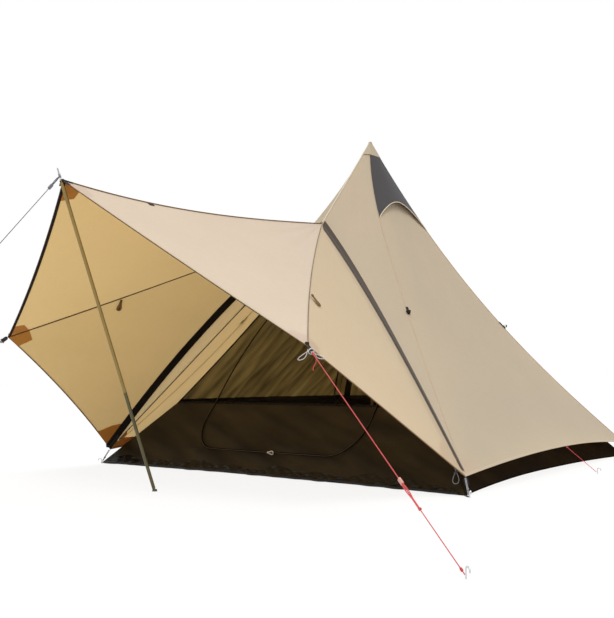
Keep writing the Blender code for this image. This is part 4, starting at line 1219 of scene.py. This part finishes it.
def hood_point(side, u, v, lift=0.0):
    arch = math.sin(math.pi * u) ** 0.7
    t = HOOD_TOP + (HOOD_RIM - HOOD_ARCH * arch - HOOD_TOP) * v
    a, b = hip(side, -1)(t), hip(side, 1)(t)
    inset = 0.002 / span(a, b)
    slack = 0.004 * math.sin(math.pi * u) * math.sin(2.2 * math.pi * v + 9 * u)
    rise = 0.003 + 0.042 * arch * v + slack * v * (1 - v) + lift
    return a + (b - a) * (inset + (1 - 2 * inset) * u) + side_outward(side) * rise


FLAP_SEAM = 0.4


def flap_point(side, u, v):
    """u runs from 0 on the wing, past the seam at FLAP_SEAM, to 1 on the front panel."""
    t = 0.01 + 0.975 * v
    edge = door_edge(side)(t)
    toward, back = hip(side, -1)(t) - edge, awning_seam(side)(t) - edge
    down = door_edge(side)(t + 0.01) - door_edge(side)(t - 0.01)
    ways = [unit(np.cross(back, down)), unit(np.cross(down, toward))]
    ways = [w if w @ (side, -1, 0.6) > 0 else -w for w in ways]
    if u > FLAP_SEAM:
        reach = unit(toward) * (0.046 - 0.026 * t) * (u - FLAP_SEAM) / (1 - FLAP_SEAM)
    else:
        lap = min(0.036 - 0.024 * t, 0.6 * np.linalg.norm(back))
        reach = unit(back) * lap * (1 - u / FLAP_SEAM)
    out = unit(ways[0] * (1 - u) + ways[1] * u)
    return edge + reach + out * (0.0045 + 0.002 * math.sin(math.pi * u))


def floor_point(u, v):
    x, y = 2 * u - 1, 2 * v - 1
    bow = FRONT_BOW if y < 0 else SIDE_BOW
    ripple = 0.0012 * math.sin(7 * x + 3 * y) * math.sin(5 * y - 2 * x)
    return (x * (FLOOR_HALF - SIDE_BOW * 4 * v * (1 - v)),
            y * (FLOOR_HALF - bow * abs(y) * 4 * u * (1 - u)), 0.0022 + ripple)


# %% Making the hoods, the flaps and the floor
for word, side in SIDES:
    grid_sheet(f"vent_hood_{word}_cloth", f"vent_hood_{word}",
               lambda u, v, s=side: hood_point(s, u, v), 36, 24, HOOD,
               side_outward(side))
    grid_sheet(f"storm_flap_{word}_cloth", f"storm_flap_{word}",
               lambda u, v, s=side: flap_point(s, u, v), 10, 90, FLAP,
               (0.4 * side, -1, 0.6))
grid_sheet("groundsheet_cloth", "groundsheet", floor_point, 60, 60, TUB,
           (0, 0, 1))
print("hood area:", round(area_of(SHEETS["vent_hood_right"]), 3), "m2")


def crumpled(u):
    """The floor's front edge, pushed together a little where it lies on the ground."""
    wave = sum(math.sin(rate * u + rate) for rate in (23, 41, 67, 101)) / 4
    return floor_point(u, 0) + np.array([0, -0.004 + 0.012 * wave, 0.0095 + 0.003 * wave])


FRONT_EDGE = [crumpled(u) for u in np.linspace(0.015, 0.985, 241)]


# %% [markdown]
# ## Bindings, webbing and patches
# Cloth never just stops. A hem is folded and stitched, an edge that carries load has webbing
# beneath it, and a corner that a line pulls on has a second layer. Each of these is a slab
# laid on the sewn panel, along one of its edges or over one of its corners.

# %% Slabs along an edge, and over a corner
def edge_band(name, panel_name, edge, width, lift, thick, material, slot="fly_cloth",
              steps=60, columns=3, start=0.0, end=1.0, off=0.0):
    """A band along an edge of a panel. lift is where its lower face lies, above the cloth."""
    panel = PANELS[panel_name]

    def at(a, b):
        u, s = panel.near(edge, start + (end - start) * b, off + width * a)
        return panel.on(u, s, lift), panel.normal(u, s)

    TRIMS[panel_name].append(slab(name, at, columns, steps, thick, material))


PATCH_LIFT, PATCH_THICK = -0.0022, 0.0010


def corner_patch(name, panel_name, corners):
    """A patch between four points, given as (across, down) shares of the panel."""
    panel = PANELS[panel_name]
    (a0, b0), (a1, b1), (a2, b2), (a3, b3) = corners

    def at(p, q):
        u = (a0 * (1 - p) + a1 * p) * (1 - q) + (a3 * (1 - p) + a2 * p) * q
        s = (b0 * (1 - p) + b1 * p) * (1 - q) + (b3 * (1 - p) + b2 * p) * q
        return panel.on(u, s, PATCH_LIFT), panel.normal(u, s)

    TRIMS[panel_name].append(slab(name, at, 8, 8, PATCH_THICK, PATCH))


def piping(name, curve, radius, material, slot="fly_cloth", lift=(0, 0, 0), start=0.0, end=1.0,
           steps=60, flat=1.0, out=None):
    path = [curve(t) + np.array(lift) for t in np.linspace(start, end, steps + 1)]
    ups = None if out is None else [unit(np.array(out, float))] * len(path)
    return swept(name, path, round_section(radius, 8, flat), material, slot, ups, angle=1.2)


# %% Trims of both sides
for word, side in SIDES:
    roof, wing = f"awning_roof_{word}", f"awning_wing_{word}"
    front, fly = f"front_panel_{word}", f"fly_{word}_panel"
    # The awning's front edge has a binding round it and webbing beneath, which reaches the very
    # edge on the far side. Seams show from beneath as double cloth, in a dark brown that is
    # painted shade, for the light that the second layer holds back. A black facing runs inside the
    # wing's seam down to the corner, and the fly's hem is folded in.
    trim, under, webbing_off = "dark_trim", "awning_cloth", 0.004 if side > 0 else 0.0
    for panel, label, edge, width, lift, thick, material, slot, more in (
            (roof, "front_binding", "hem", 0.004, -0.0012, 0.0024, BINDING, trim,
             {"off": -0.0015}),
            (roof, "front_webbing", "hem", 0.017, -0.0042, 0.0022, DARK_BAND, trim,
             {"off": webbing_off}),
            (wing, "hem_binding", "hem", 0.008, -0.0016, 0.0032, BINDING, trim,
             {"off": -0.0015, "steps": 90}),
            (roof, "seam_under", "right", 0.006, -0.0030, 0.0014, SEAM, under, {"start": 0.02}),
            (wing, "seam_under", "left", 0.006, -0.0030, 0.0014, SEAM, under, {"start": 0.02}),
            (roof, "ridge_under", "left", 0.012, -0.0030, 0.0014, SEAM, under, {"start": 0.02}),
            (wing, "facing", "right", 0.070, -0.0042, 0.0022, DARK_BAND, trim,
             {"start": 0.03, "steps": 90, "columns": 5}),
            (fly, "hem", "hem", 0.028, -0.0014, 0.0028, HEM, "fly_cloth", {"steps": 110})):
        edge_band(f"{panel.removesuffix('_panel')}_{label}", panel, edge, width, lift, thick,
                  material, slot, **more)
    # corners with a second layer, whose brown is painted shade where it holds back light
    for panel, label, corners in (
            (roof, "tip", ((0.0, 1.0), (0.11, 1.0), (0.077, 0.95875), (0.0, 0.945))),
            (roof, "corner", ((1.0, 1.0), (0.92, 1.0), (0.935, 0.965), (1.0, 0.94))),
            (wing, "corner", ((0.0, 1.0), (0.075, 1.0), (0.07, 0.955), (0.0, 0.94))),
            (wing, "foot", ((1.0, 1.0), (0.83, 1.0), (0.89, 0.955), (1.0, 0.90))),
            (front, "foot", ((0.0, 0.0), (1.0, 0.0), (1.0, 0.075), (0.0, 0.06))),
            (fly, "foot", ((0.0, 1.0), (0.062, 1.0), (0.047, 0.952), (0.0, 0.945)))):
        corner_patch(f"{panel.removesuffix('_panel')}_{label}_patch", panel, corners)
    # the hood's rim is a welt, and tapes hold its sides on the hips
    rim = [hood_point(side, u, 1.0, 0.0) for u in np.linspace(0, 1, 61)]
    TRIMS[f"vent_hood_{word}"].append(
        tube(f"vent_hood_{word}_rim", rim, 0.0035, PIPING, "fly_cloth", 8))
    for end_word, u in (("front", 0.0), ("back", 1.0)):
        path = [hood_point(side, u, v, 0.001) for v in np.linspace(0, 1, 31)]
        TRIMS[f"vent_hood_{word}"].append(
            swept(f"vent_hood_{word}_{end_word}_tape", path, strap_section(0.010, 0.0016),
                  HOOD, "vent_cloth", [side_outward(side)] * len(path)))
    # the seam between roof and wing shows as a thin cord on top
    TRIMS[roof].append(piping(f"{roof}_seam_cord", awning_seam(side), 0.0015, SEAM,
                              "awning_cloth", (0, 0, 0.0012), 0.012))
edge_band("fly_back_hem", "fly_back_panel", "hem", 0.028, -0.0014, 0.0028, HEM, steps=110)
print("slabs so far:", sum(map(len, TRIMS.values())))


# %% The front wall's slack foot
def crumpled_foot(a, b):
    """The wall's lowest hand's breadth, slack, and pushed into small folds by the ground."""
    high = (0.045 + 0.025 * math.sin(37 * b) * math.sin(13 * b + 1)) * (1 - a) + 0.006
    puff = math.sin(151 * b + 9 * a) * math.sin(67 * b) + 0.6 * math.sin(211 * b - 5 * a)
    wall = PANELS["inner_front_wall"]
    b = 0.02 + 0.96 * b
    s = 1 - high / wall.length()
    return wall.on(b, s, 0.004 + 0.008 * a + 0.004 * puff), wall.normal(b, s)


TRIMS["inner_front_wall"].append(
    slab("inner_front_wall_foot", crumpled_foot, 5, 300, 0.0012, TUB_EDGE))
TRIMS["groundsheet"].append(
    swept("groundsheet_front_roll", FRONT_EDGE, round_section(0.008, 8, 1.1), TUB_EDGE,
          "floor_cloth"))
print("front edge of the floor:", round(path_length(FRONT_EDGE), 3), "m")


# %% Piping on the ridges and down the hips
peak_ridge = bowed(PEAK, JUNCTION)
piping("peak_ridge_piping", peak_ridge, 0.0045, PIPING, "fly_cloth", (0, -0.002, 0.002), 0.015,
       0.985, 40)
piping("awning_ridge_piping", AWNING_RIDGE, 0.0040, BINDING, "dark_trim", (0, 0, 0.0022), 0.0,
       0.995, 70)
for word, side in SIDES:
    for end_word, forward in (("front", -1), ("back", 1)):
        out = unit(np.array([side, forward, 0.9]))
        piping(f"hip_seam_{end_word}_{word}", hip(side, forward), 0.0032, FLY, "fly_cloth",
               out * 0.0017, 0.20 if forward < 0 else 0.21, 0.995, 80, 0.5, out)
print("peak ridge:", round(span(PEAK, JUNCTION), 3), "m")


# %% A cap over the apex, which hides the pole's cup and the hoods' upper edges
CAP_CORNERS = (hip(1, 1), hip(1, -1), lambda t: peak_ridge(4.6 * t), hip(-1, -1), hip(-1, 1))
CAP_REACH = 0.036    # the share of the hips' length that the cap covers
POLE_TOP = PEAK * (1, 1, 0)


def cap_point(a, b, lift=0.0055):
    """a goes round the cap from its back, and b goes from its tip down to its hem."""
    if b == 0:
        return PEAK + (0, 0, 0.005)
    reach = a * len(CAP_CORNERS)
    first, share = int(reach) % len(CAP_CORNERS), reach % 1
    ends = [CAP_CORNERS[k % len(CAP_CORNERS)](CAP_REACH * b) for k in (first, first + 1)]
    point = ends[0] * (1 - share) + ends[1] * share
    out = point * (1, 1, 0) - POLE_TOP
    far = max(np.linalg.norm(out) + lift, 0.0145)
    return POLE_TOP + unit(out) * far + UP * (point[2] + lift * 0.6)


def cap_grid(a, b):
    point = cap_point(a, b)
    return point, unit(point - (POLE_TOP + UP * (point[2] - 0.03)))


slab("apex_cap", cap_grid, 60, 16, 0.0016, CAP_CLOTH)
hem_ring = [cap_point(k / 60, 1.0) + (0, 0, 0.002) for k in range(60)]
swept("apex_cap_hem", hem_ring, strap_section(0.004, 0.0024), HEM, "fly_cloth", closed=True)
print("round the cap's hem:", round(path_length(hem_ring + hem_ring[:1]), 3), "m")


# %% Inside the tent
def inner_front_forward(height):
    """How far forward the inner front stands at a height above the floor."""
    if height <= WALL_HEIGHT:
        return FLOOR_HALF + (WALL_HALF - FLOOR_HALF) * height / WALL_HEIGHT
    edge, low, high = inner_hip(1, -1), 0.0, 1.0
    for _ in range(40):
        middle = (low + high) / 2
        low, high = (middle, high) if edge(middle)[2] > height else (low, middle)
    return -edge(low)[1]


def inner_band(name, panel_name, edge, width, lift, material=DARK_BAND, **more):
    edge_band(name, panel_name, edge, width, lift, 0.0016, material, "inner_cloth", **more)


for word in INNER_SIDES:
    upper = "inner_front_mesh" if word == "front" else f"inner_{word}_panel"
    tape = 0.022 if word == "front" else 0.045
    inner_band(f"{upper}_wall_tape", upper, "hem", tape, -0.003, steps=80)
    if word != "front":
        for edge in ("left", "right"):
            inner_band(f"{upper}_{edge}_tape", upper, edge, 0.014, -0.004, start=0.06)
# down the back left corner, a pale strip on each wall, painted light for the light that shows
# through there, and a dark band beside it
for word, edge, strip, band in (("back", "right", 0.060, 0.070),
                                ("left", "left", 0.075, 0.024)):
    upper = f"inner_{word}_panel"
    inner_band(f"inner_{word}_strip", upper, edge, strip, -0.0065, GREY_STRIP, start=0.06,
               end=0.978)
    inner_band(f"inner_{word}_band", upper, edge, band, -0.004, start=0.06, off=strip)
for edge in ("left", "right"):
    inner_band(f"inner_front_mesh_{edge}_tape", "inner_front_mesh", edge, 0.016, -0.001,
               start=0.03)
print("all slabs:", sum(map(len, TRIMS.values())))


# %% [markdown]
# ## Stitches and zip teeth
# A stitch and a turn of a zip's coil are the same job: a small part, repeated at a pitch
# along a path, lying in the path's direction. The tree takes plain polylines that carry an
# "up" direction on each point, cuts them at the pitch, and sets one part on each.

# %% The tree that repeats a small part
def build_row_tree():
    tree, given, result = new_tree("Row of small parts", [
        ("Pitch", "Float", 0.012), ("Long", "Float", 0.008), ("Wide", "Float", 0.0012),
        ("High", "Float", 0.0008), ("Around", "Int", 6), ("Finish", "Material", None)])
    curve = place(tree, "GeometryNodeMeshToCurve", {"Mesh": given["Geometry"]})
    cut = place(tree, "GeometryNodeResampleCurve",
                {"Curve": curve.outputs[0], "Length": given["Pitch"]}, mode="LENGTH")
    bead = place(tree, "GeometryNodeMeshUVSphere",
                 {"Segments": given["Around"], "Rings": 4, "Radius": 0.5})
    size = combined(tree, given["Long"], given["Wide"], given["High"])
    shaped = place(tree, "GeometryNodeTransform", {"Geometry": bead.outputs[0], "Scale": size})
    tangent = place(tree, "GeometryNodeInputTangent").outputs[0]
    ahead = place(tree, "FunctionNodeAlignRotationToVector", {2: tangent}, axis="X")
    level = place(tree, "FunctionNodeAlignRotationToVector",
                  {0: ahead.outputs[0], 2: recall(tree, "up", "FLOAT_VECTOR")}, axis="Z",
                  pivot_axis="X")
    row = place(tree, "GeometryNodeInstanceOnPoints",
                {"Points": cut.outputs[0], "Instance": shaped.outputs[0],
                 "Rotation": level.outputs[0]})
    finished(tree, row.outputs[0], given["Finish"], result)
    return tree


ROW = build_row_tree()
print("nodes in the row tree:", len(ROW.nodes))


# %% A row along a path or a panel's edge
def repeat_along(name, lines, slot, material, pitch, long, wide, high, segments=6):
    """lines is a list of paths, each a list of (point, up) pairs."""
    mesh = bpy.data.meshes.new(name + "_paths")
    points, edges, ups = [], [], []
    for line in lines:
        first = len(points)
        points += [p for p, _ in line]
        ups += [u for _, u in line]
        edges += [(first + k, first + k + 1) for k in range(len(line) - 1)]
    mesh.from_pydata(points, edges, [])
    attribute = mesh.attributes.new("up", "FLOAT_VECTOR", "POINT")
    attribute.data.foreach_set("vector", np.array(ups, float).ravel())
    obj = run_tree(name, mesh, ROW, {"Pitch": pitch, "Long": long, "Wide": wide, "High": high,
                                     "Around": segments, "Finish": material})
    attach(obj, "tent")
    print(name, "triangles:", sum(len(p.vertices) - 2 for p in obj.data.polygons))


def panel_line(panel_name, edge, off, lift, start=0.0, end=1.0, steps=60):
    """A line on a sewn panel, a set distance in from one of its edges."""
    panel = PANELS[panel_name]
    line = []
    for b in np.linspace(start, end, steps + 1):
        u, s = panel.near(edge, b, off)
        n = panel.normal(u, s)
        line.append((panel.on(u, s, lift), n if lift > 0 else -n))
    return line


# %% Stitch rows
STITCH = (0.011, 0.008, 0.0012, 0.0008)    # pitch, length, width and height


def rows_of(panel_name, *rows):
    """Each row is the edge, the distance in from it, the lift, and where it starts and ends."""
    return [panel_line(panel_name, *row) for row in rows]


hip_rows, hem_rows, dark_rows, under_rows = [], [], [], []
for name in ("fly_back_panel", "fly_right_panel", "fly_left_panel"):
    top = 0.2 if name == "fly_back_panel" else 0.1
    hip_rows += rows_of(name, ("left", 0.009, 0.0006, top), ("right", 0.009, 0.0006, top))
    hem_rows += rows_of(name, ("hem", 0.004, 0.0018), ("hem", 0.024, 0.0018))
for word, side in SIDES:
    roof, wing, front = f"awning_roof_{word}", f"awning_wing_{word}", f"front_panel_{word}"
    hip_rows += rows_of(front, ("left", 0.009, 0.0006, 0.01, 0.98))
    hem_rows += rows_of(roof, ("left", 0.008, 0.0006, 0.01), ("right", 0.006, 0.0006, 0.02))
    hem_rows += rows_of(wing, ("left", 0.006, 0.0006, 0.02), ("right", 0.008, 0.0006, 0.03))
    hem_rows += rows_of(roof, ("hem", 0.009, 0.0006)) + rows_of(wing, ("hem", 0.012, 0.0006))
    under_rows += rows_of(roof, ("hem", 0.004, -0.0044), ("hem", 0.012, -0.0044),
                          ("right", 0.004, -0.0034, 0.03), ("left", 0.009, -0.0032, 0.03))
    under_rows += rows_of(wing, ("left", 0.004, -0.0034, 0.03), ("right", 0.005, -0.0044, 0.04),
                          ("right", 0.065, -0.0044, 0.05))
    for u in (0.06, 0.94):
        dark_rows.append([(flap_point(side, u, v) + (0, 0, 0.0006),
                           PANELS[front].normal(0.9, 1 - v)) for v in np.linspace(0, 1, 61)])
    for v in (0.955, 0.985):
        dark_rows.append([(hood_point(side, u, v, 0.0006), side_outward(side))
                          for u in np.linspace(0.03, 0.97, 41)])
for label, rows, slot, thread in (("hip", hip_rows, "fly_cloth", PALE_THREAD),
                                  ("hem", hem_rows, "fly_cloth", PALE_THREAD),
                                  ("trim", dark_rows, "dark_trim", DARK_THREAD),
                                  ("under", under_rows, "dark_trim", BROWN_THREAD)):
    repeat_along(f"{label}_stitches", rows, slot, thread, *STITCH)


# %% [markdown]
# ## Zips
# Each door zip runs straight from the junction to the front corner, on a pale tape at the
# edge of a strip of canvas. The coil is a row of small turns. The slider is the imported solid,
# since its channel already wraps the coil, and so it can still move along it. The inner door
# has a D-shaped zip: a straight sill, round lower corners and an arched top.

# %% Door zips
TAPE_IN, COIL_IN = 0.0135, 0.0025    # how far the tape and the coil lie inside the edge


def zip_frame(side):
    """Directions down the zip, from its coil into the strip, and off its front."""
    down = unit(door_chord(side)(1) - JUNCTION)
    bow = np.array(mirrored(DOOR_BOW, side))
    into = unit(bow - down * (bow @ down))
    across = np.cross(down, into)
    return down, into, across if across[1] < 0 else -across


for word, side in SIDES:
    down, into, front = zip_frame(side)
    chord = door_chord(side)
    ts = np.linspace(0.062, 0.957, 41)
    tape = [chord(t) + into * TAPE_IN for t in ts]
    for face, lift in (("front", 0.0016), ("back", -0.0016)):
        TRIMS[f"door_strip_{word}"].append(
            swept(f"door_tape_{word}_{face}", [p + front * lift for p in tape],
                  strap_section(0.011, 0.0012), TAPE, "dark_trim", [front] * len(tape)))
    line = [(chord(t) + into * COIL_IN, front) for t in ts]
    repeat_along(f"door_coil_{word}", [line], "black_plastic", ZIP, 0.0024, 0.0019, 0.0048,
                 0.0032, 5)
    core = [p for p, _ in line]
    TRIMS[f"door_strip_{word}"].append(
        swept(f"door_coil_core_{word}", core, strap_section(0.0070, 0.0016), ZIP,
              "black_plastic", [front] * len(core)))


# %% The D-shaped zip of the inner door
def on_inner_front(across, height, off=0.009):
    return np.array([across, -inner_front_forward(height) - off, height])


def inner_zip_points():
    """The outline as (across, height): the sill, a bend, the arch and the other bend."""
    sill, half, corner, top = 0.15, 0.70, 0.22, 1.50
    low = sill + corner
    straight = [(x, sill) for x in np.linspace(corner - half, half - corner, 25)[:-1]]
    bend = [(half - corner + corner * math.sin(a), low - corner * math.cos(a))
            for a in np.linspace(0, math.pi / 2, 13)]
    arch = [(half * math.cos(a), low + (top - low) * math.sin(a))
            for a in np.linspace(0, math.pi, 49)[:-1]]
    return straight + bend[:-1] + arch + [(-x, z) for x, z in bend[:0:-1]]


flat_path = inner_zip_points()
zip_path = [on_inner_front(x, z) for x, z in flat_path]
zip_out = unit(np.array([0, -1.0, 0.55]))
ring = zip_path + zip_path[:1]
D_ZIP = tube("inner_door_zip_core", zip_path, 0.0022, ZIP, "black_plastic", 8, closed=True)
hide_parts("inner_door_zip")
swept("inner_door_zip_tape", [on_inner_front(x, z, 0.0035) for x, z in flat_path],
      strap_section(0.014, 0.0012), TUB_SEAM, "dark_trim", [zip_out] * len(zip_path), True)
repeat_along("inner_door_coil", [[(p, zip_out) for p in ring]], "black_plastic", ZIP, 0.003,
             0.0022, 0.0056, 0.0044, 5)


# %% The inner slider's pull
slider_low, slider_high = (np.array(c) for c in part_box("inner_door_slider"))
pull_start = (slider_low + slider_high) / 2 * (1, 0, 1) + (0, slider_low[1] - 0.003, 0)
pull_path = [pull_start + np.array([0.05 * math.sin(math.pi * s) ** 0.8, -0.006,
                                    0.010 * math.sin(TURN * s)])
             for s in np.linspace(0, 1, 25)]
tube("inner_door_pull", pull_path, 0.0035, WHITE_LINE, "grey_line", 8, body="inner_door_slider")
print("slider from", slider_low.round(3), "to", slider_high.round(3))


# %% [markdown]
# ## Corners, loops and toggles
# What pulls on a tent is small: an eyelet over the pole's spike, a tab on a corner, a loop on
# a hip for a storm line, and a toggle that holds the rolled door. They are straps and cords
# again, bent into loops.

# %% A strap folded into a loop
def strap_loop(name, base, out, along, length, width, material):
    """A strap folded into a loop that stands out from a seam, its ends together."""
    out, along = unit(np.array(out, float)), unit(np.array(along, float))
    side = np.cross(out, along)
    path, ups = [], []
    for k in range(25):
        s = k / 24
        a = TURN * s
        belly = math.sin(math.pi * s)
        path.append(base + out * (length * belly ** 0.9)
                    + side * (0.32 * length * math.sin(a) * belly))
        ups.append(unit(side * math.cos(math.pi * s) * -1 + out * math.sin(math.pi * s)))
    swept(name, path, strap_section(width, 0.0016), material, "dark_trim", ups)


# %% Making the hip loops and the ridge loop
for word, side in SIDES:
    for end_word, forward, t in (("front", -1, 0.504), ("back", 1, 0.511)):
        edge = hip(side, forward)
        out = unit(np.array([side, forward, 0.5]))
        down = unit(edge(t + 0.01) - edge(t - 0.01))
        strap_loop(f"hip_loop_{end_word}_{word}", edge(t) + out * 0.001, out * 0.6 + down * 0.5,
                   np.cross(out, down), 0.040, 0.024, WEBBING)
        patch = [edge(t + 0.004 * k) + out * 0.0035 for k in (-3, -2, -1, 0, 1, 2, 3)]
        swept(f"hip_loop_patch_{end_word}_{word}", patch, strap_section(0.026, 0.0016), WEBBING,
              "dark_trim", [out] * len(patch))
ridge_spot = AWNING_RIDGE(0.742)
strap_loop("ridge_loop", ridge_spot + (0.006, 0, -0.002), (0.75, 0, -0.65), (0, 1, 0), 0.024,
           0.036, FLAP)
print("height of the front hip loop:", round(hip(1, -1)(0.504)[2], 3), "m")


# %% Toggles for the rolled doors
TOGGLE_SHARE = 0.67    # how far down the awning's seam they hang


def toggle(word, side):
    """A strap folded into a loop, with a bar in its bend and cord wound round its neck."""
    corner = wing_corner(side)
    a, b = corner - JUNCTION, fly_corner(side, -1) - JUNCTION
    out = unit(np.cross(a, b))
    out = out if out[0] * side > 0 else -out
    hinge = awning_seam(side)(TOGGLE_SHARE) + out * (0.016 * side)
    fall = unit(-UP + out * out[2])
    wide = np.cross(out, fall)
    path, ups = [], []
    for k in range(41):
        s = k / 40
        reach = 0.004 + 0.078 * math.sin(math.pi * s) ** 0.7
        spread = 0.009 * math.sin(TURN * s) * (0.6 + math.sin(math.pi * s) ** 2)
        path.append(hinge + fall * reach + wide * spread)
        ups.append(out)
    body = f"tie_toggle_{word}"
    loop = swept(f"tie_loop_{word}", path, strap_section(0.017, 0.006), TIE, "dark_trim", ups,
                 body=body)
    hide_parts(body)
    steps = sides = 12
    bar = [hinge + fall * (0.062 + 0.024 * k / steps) for k in range(steps + 1)]
    bar_piece = swept(f"tie_bar_{word}", bar, round_section(0.005, sides), BLACK, "dark_trim",
                      body=body)
    for index, vertex in enumerate(bar_piece.data.vertices):
        ring = index // sides
        swell = 0.75 + 0.35 * math.sin(math.pi * ring / steps)
        vertex.co = Vector(bar[ring]) + (vertex.co - Vector(bar[ring])) * swell
    coil(f"tie_wraps_{word}", hinge + fall * 0.012, fall, 0.0058, 3, 0.0014, DARK_LINE,
         "dark_trim", body)
    print(body, "hangs at", hinge.round(3))


for word, side in SIDES:
    toggle(word, side)


# %% The awning's tip: eyelet, webbing and cord wraps
EYELET_INNER, EYELET_OUTER = 0.0038, 0.0085
spike_base = TIP + POLE_UP * 0.006
side_way = unit(np.cross(POLE_UP, (1, 0, 0)))
up_way = np.cross(side_way, POLE_UP)
eyelet = [spike_base + (side_way * math.cos(TURN * k / 40) + up_way * math.sin(TURN * k / 40))
          * ((EYELET_INNER + EYELET_OUTER) / 2) for k in range(40)]
swept("tip_eyelet", eyelet, strap_section(EYELET_OUTER - EYELET_INNER, 0.0048), STEEL,
      "peg_steel", [POLE_UP] * 40, True)
for word, _ in SIDES:
    roof = PANELS[f"awning_roof_{word}"]
    edge = [roof.on(u, 1.0) for u in np.linspace(0.006, 0.028, 8)]
    path = [spike_base + (edge[0] - spike_base) * 0.45] + edge
    swept(f"tip_strap_{word}", path, strap_section(0.026, 0.0052), WEBBING, "dark_trim",
          [roof.normal(0.05, 0.99)] * len(path))
ridge_strap = [spike_base + (AWNING_RIDGE(1) - spike_base) * 0.5] + \
    [AWNING_RIDGE(t) for t in np.linspace(0.999, 0.976, 8)]
swept("tip_strap_ridge", ridge_strap, strap_section(0.024, 0.0060), WEBBING, "dark_trim")
coil("tip_wraps", TIP + POLE_UP * 0.020, POLE_UP, 0.0052, 4, LINE, GREY_LINE, "grey_line")
coil("tip_wraps_upper", TIP + POLE_UP * 0.033, POLE_UP, 0.0050, 2, LINE, WHITE_LINE,
     "grey_line")
print("eyelet at", spike_base.round(3))


# %% Webbing from the floor's corners to the pegs
for word, side in SIDES:
    peg = corner_peg(side, -1)
    floor_corner = np.array([side, -1, 0]) * (FLOOR_HALF - 0.02) + (0, 0, 0.005)
    way = unit(peg - floor_corner)
    path = [floor_corner + (peg - floor_corner) * s + (0, 0, 0.004 * s) for s in
            np.linspace(0, 0.86, 9)]
    swept(f"floor_tab_{word}", path, strap_section(0.020, 0.0022), WEBBING, "dark_trim")
    wing = PANELS[f"awning_wing_{word}"]
    strap_loop(f"wing_hem_tab_{word}", wing.at(0.955, 0.999), (-side, -0.4, -0.8), (0, 1, 0),
               0.030, 0.022, WEBBING)
    foot = [wing.on(0.985, s, -0.004) for s in np.linspace(0.955, 0.999, 8)]
    swept(f"wing_foot_webbing_{word}", foot, strap_section(0.030, 0.0024), WEBBING,
          "dark_trim", [wing.normal(0.98, 0.97)] * len(foot))
    print(f"floor tab {word}:", round(span(path[0], path[-1]), 3), "m")


# %% Knots at the wings' corners
for word, side, run, material in (("right", 1, guy_run, WHITE_LINE),
                                  ("left", -1, left_run, GREY_LINE)):
    corner = wing_corner(side)
    knot(f"wing_knot_{word}", corner + run * 0.058, run, 0.013, 0.0018, material, "grey_line")
    coil(f"wing_wraps_{word}", corner + run * 0.046, run, 0.0145, 2, 0.0016, material,
         "grey_line")
    strap_loop(f"wing_web_loop_{word}", corner - run * 0.004, run * -0.4 + UP * 0.3,
               np.cross(run, UP), 0.022, 0.018, WEBBING)
    print(f"wing corner {word} at", corner)


# %% [markdown]
# ## Finishes for the solids that stay
# Poles, pegs, sliders and tabs already have their true shapes. Each gets the material that
# the real one has, by filling its own material slot.

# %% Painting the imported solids
# the first start of a name that fits is the one that counts
FINISH = {"centre_pole": POLE, "awning_pole_foot": POLE_LOW, "awning_pole_lower": POLE_LOW,
          "awning_pole_upper": TUBE_TOP, "awning_pole": POLE, "peak_cup": CUP,
          "corner_peg": STEEL, "guy_peg": STEEL, "side_peg": STEEL, "corner_tab": WEBBING,
          "wing_tab": WEBBING, "guy_runner_right": RUNNER, "guy_runner": GREY_RUNNER,
          "door_slider": ZIP, "inner_door_slider": PULL}


def paint_solids():
    painted = 0
    for obj in bpy.data.objects:
        if "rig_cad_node" not in obj or obj.hide_render:
            continue
        match = [m for start, m in FINISH.items() if obj.name.startswith(start)]
        if not match:
            print("no finish for", obj.name)
            continue
        for own in obj.material_slots:
            own.material = match[0]
        painted += 1
    return painted


print("solids painted:", paint_solids())


# %% Counting the sheets
print("sheets declared:", len(SHEETS))
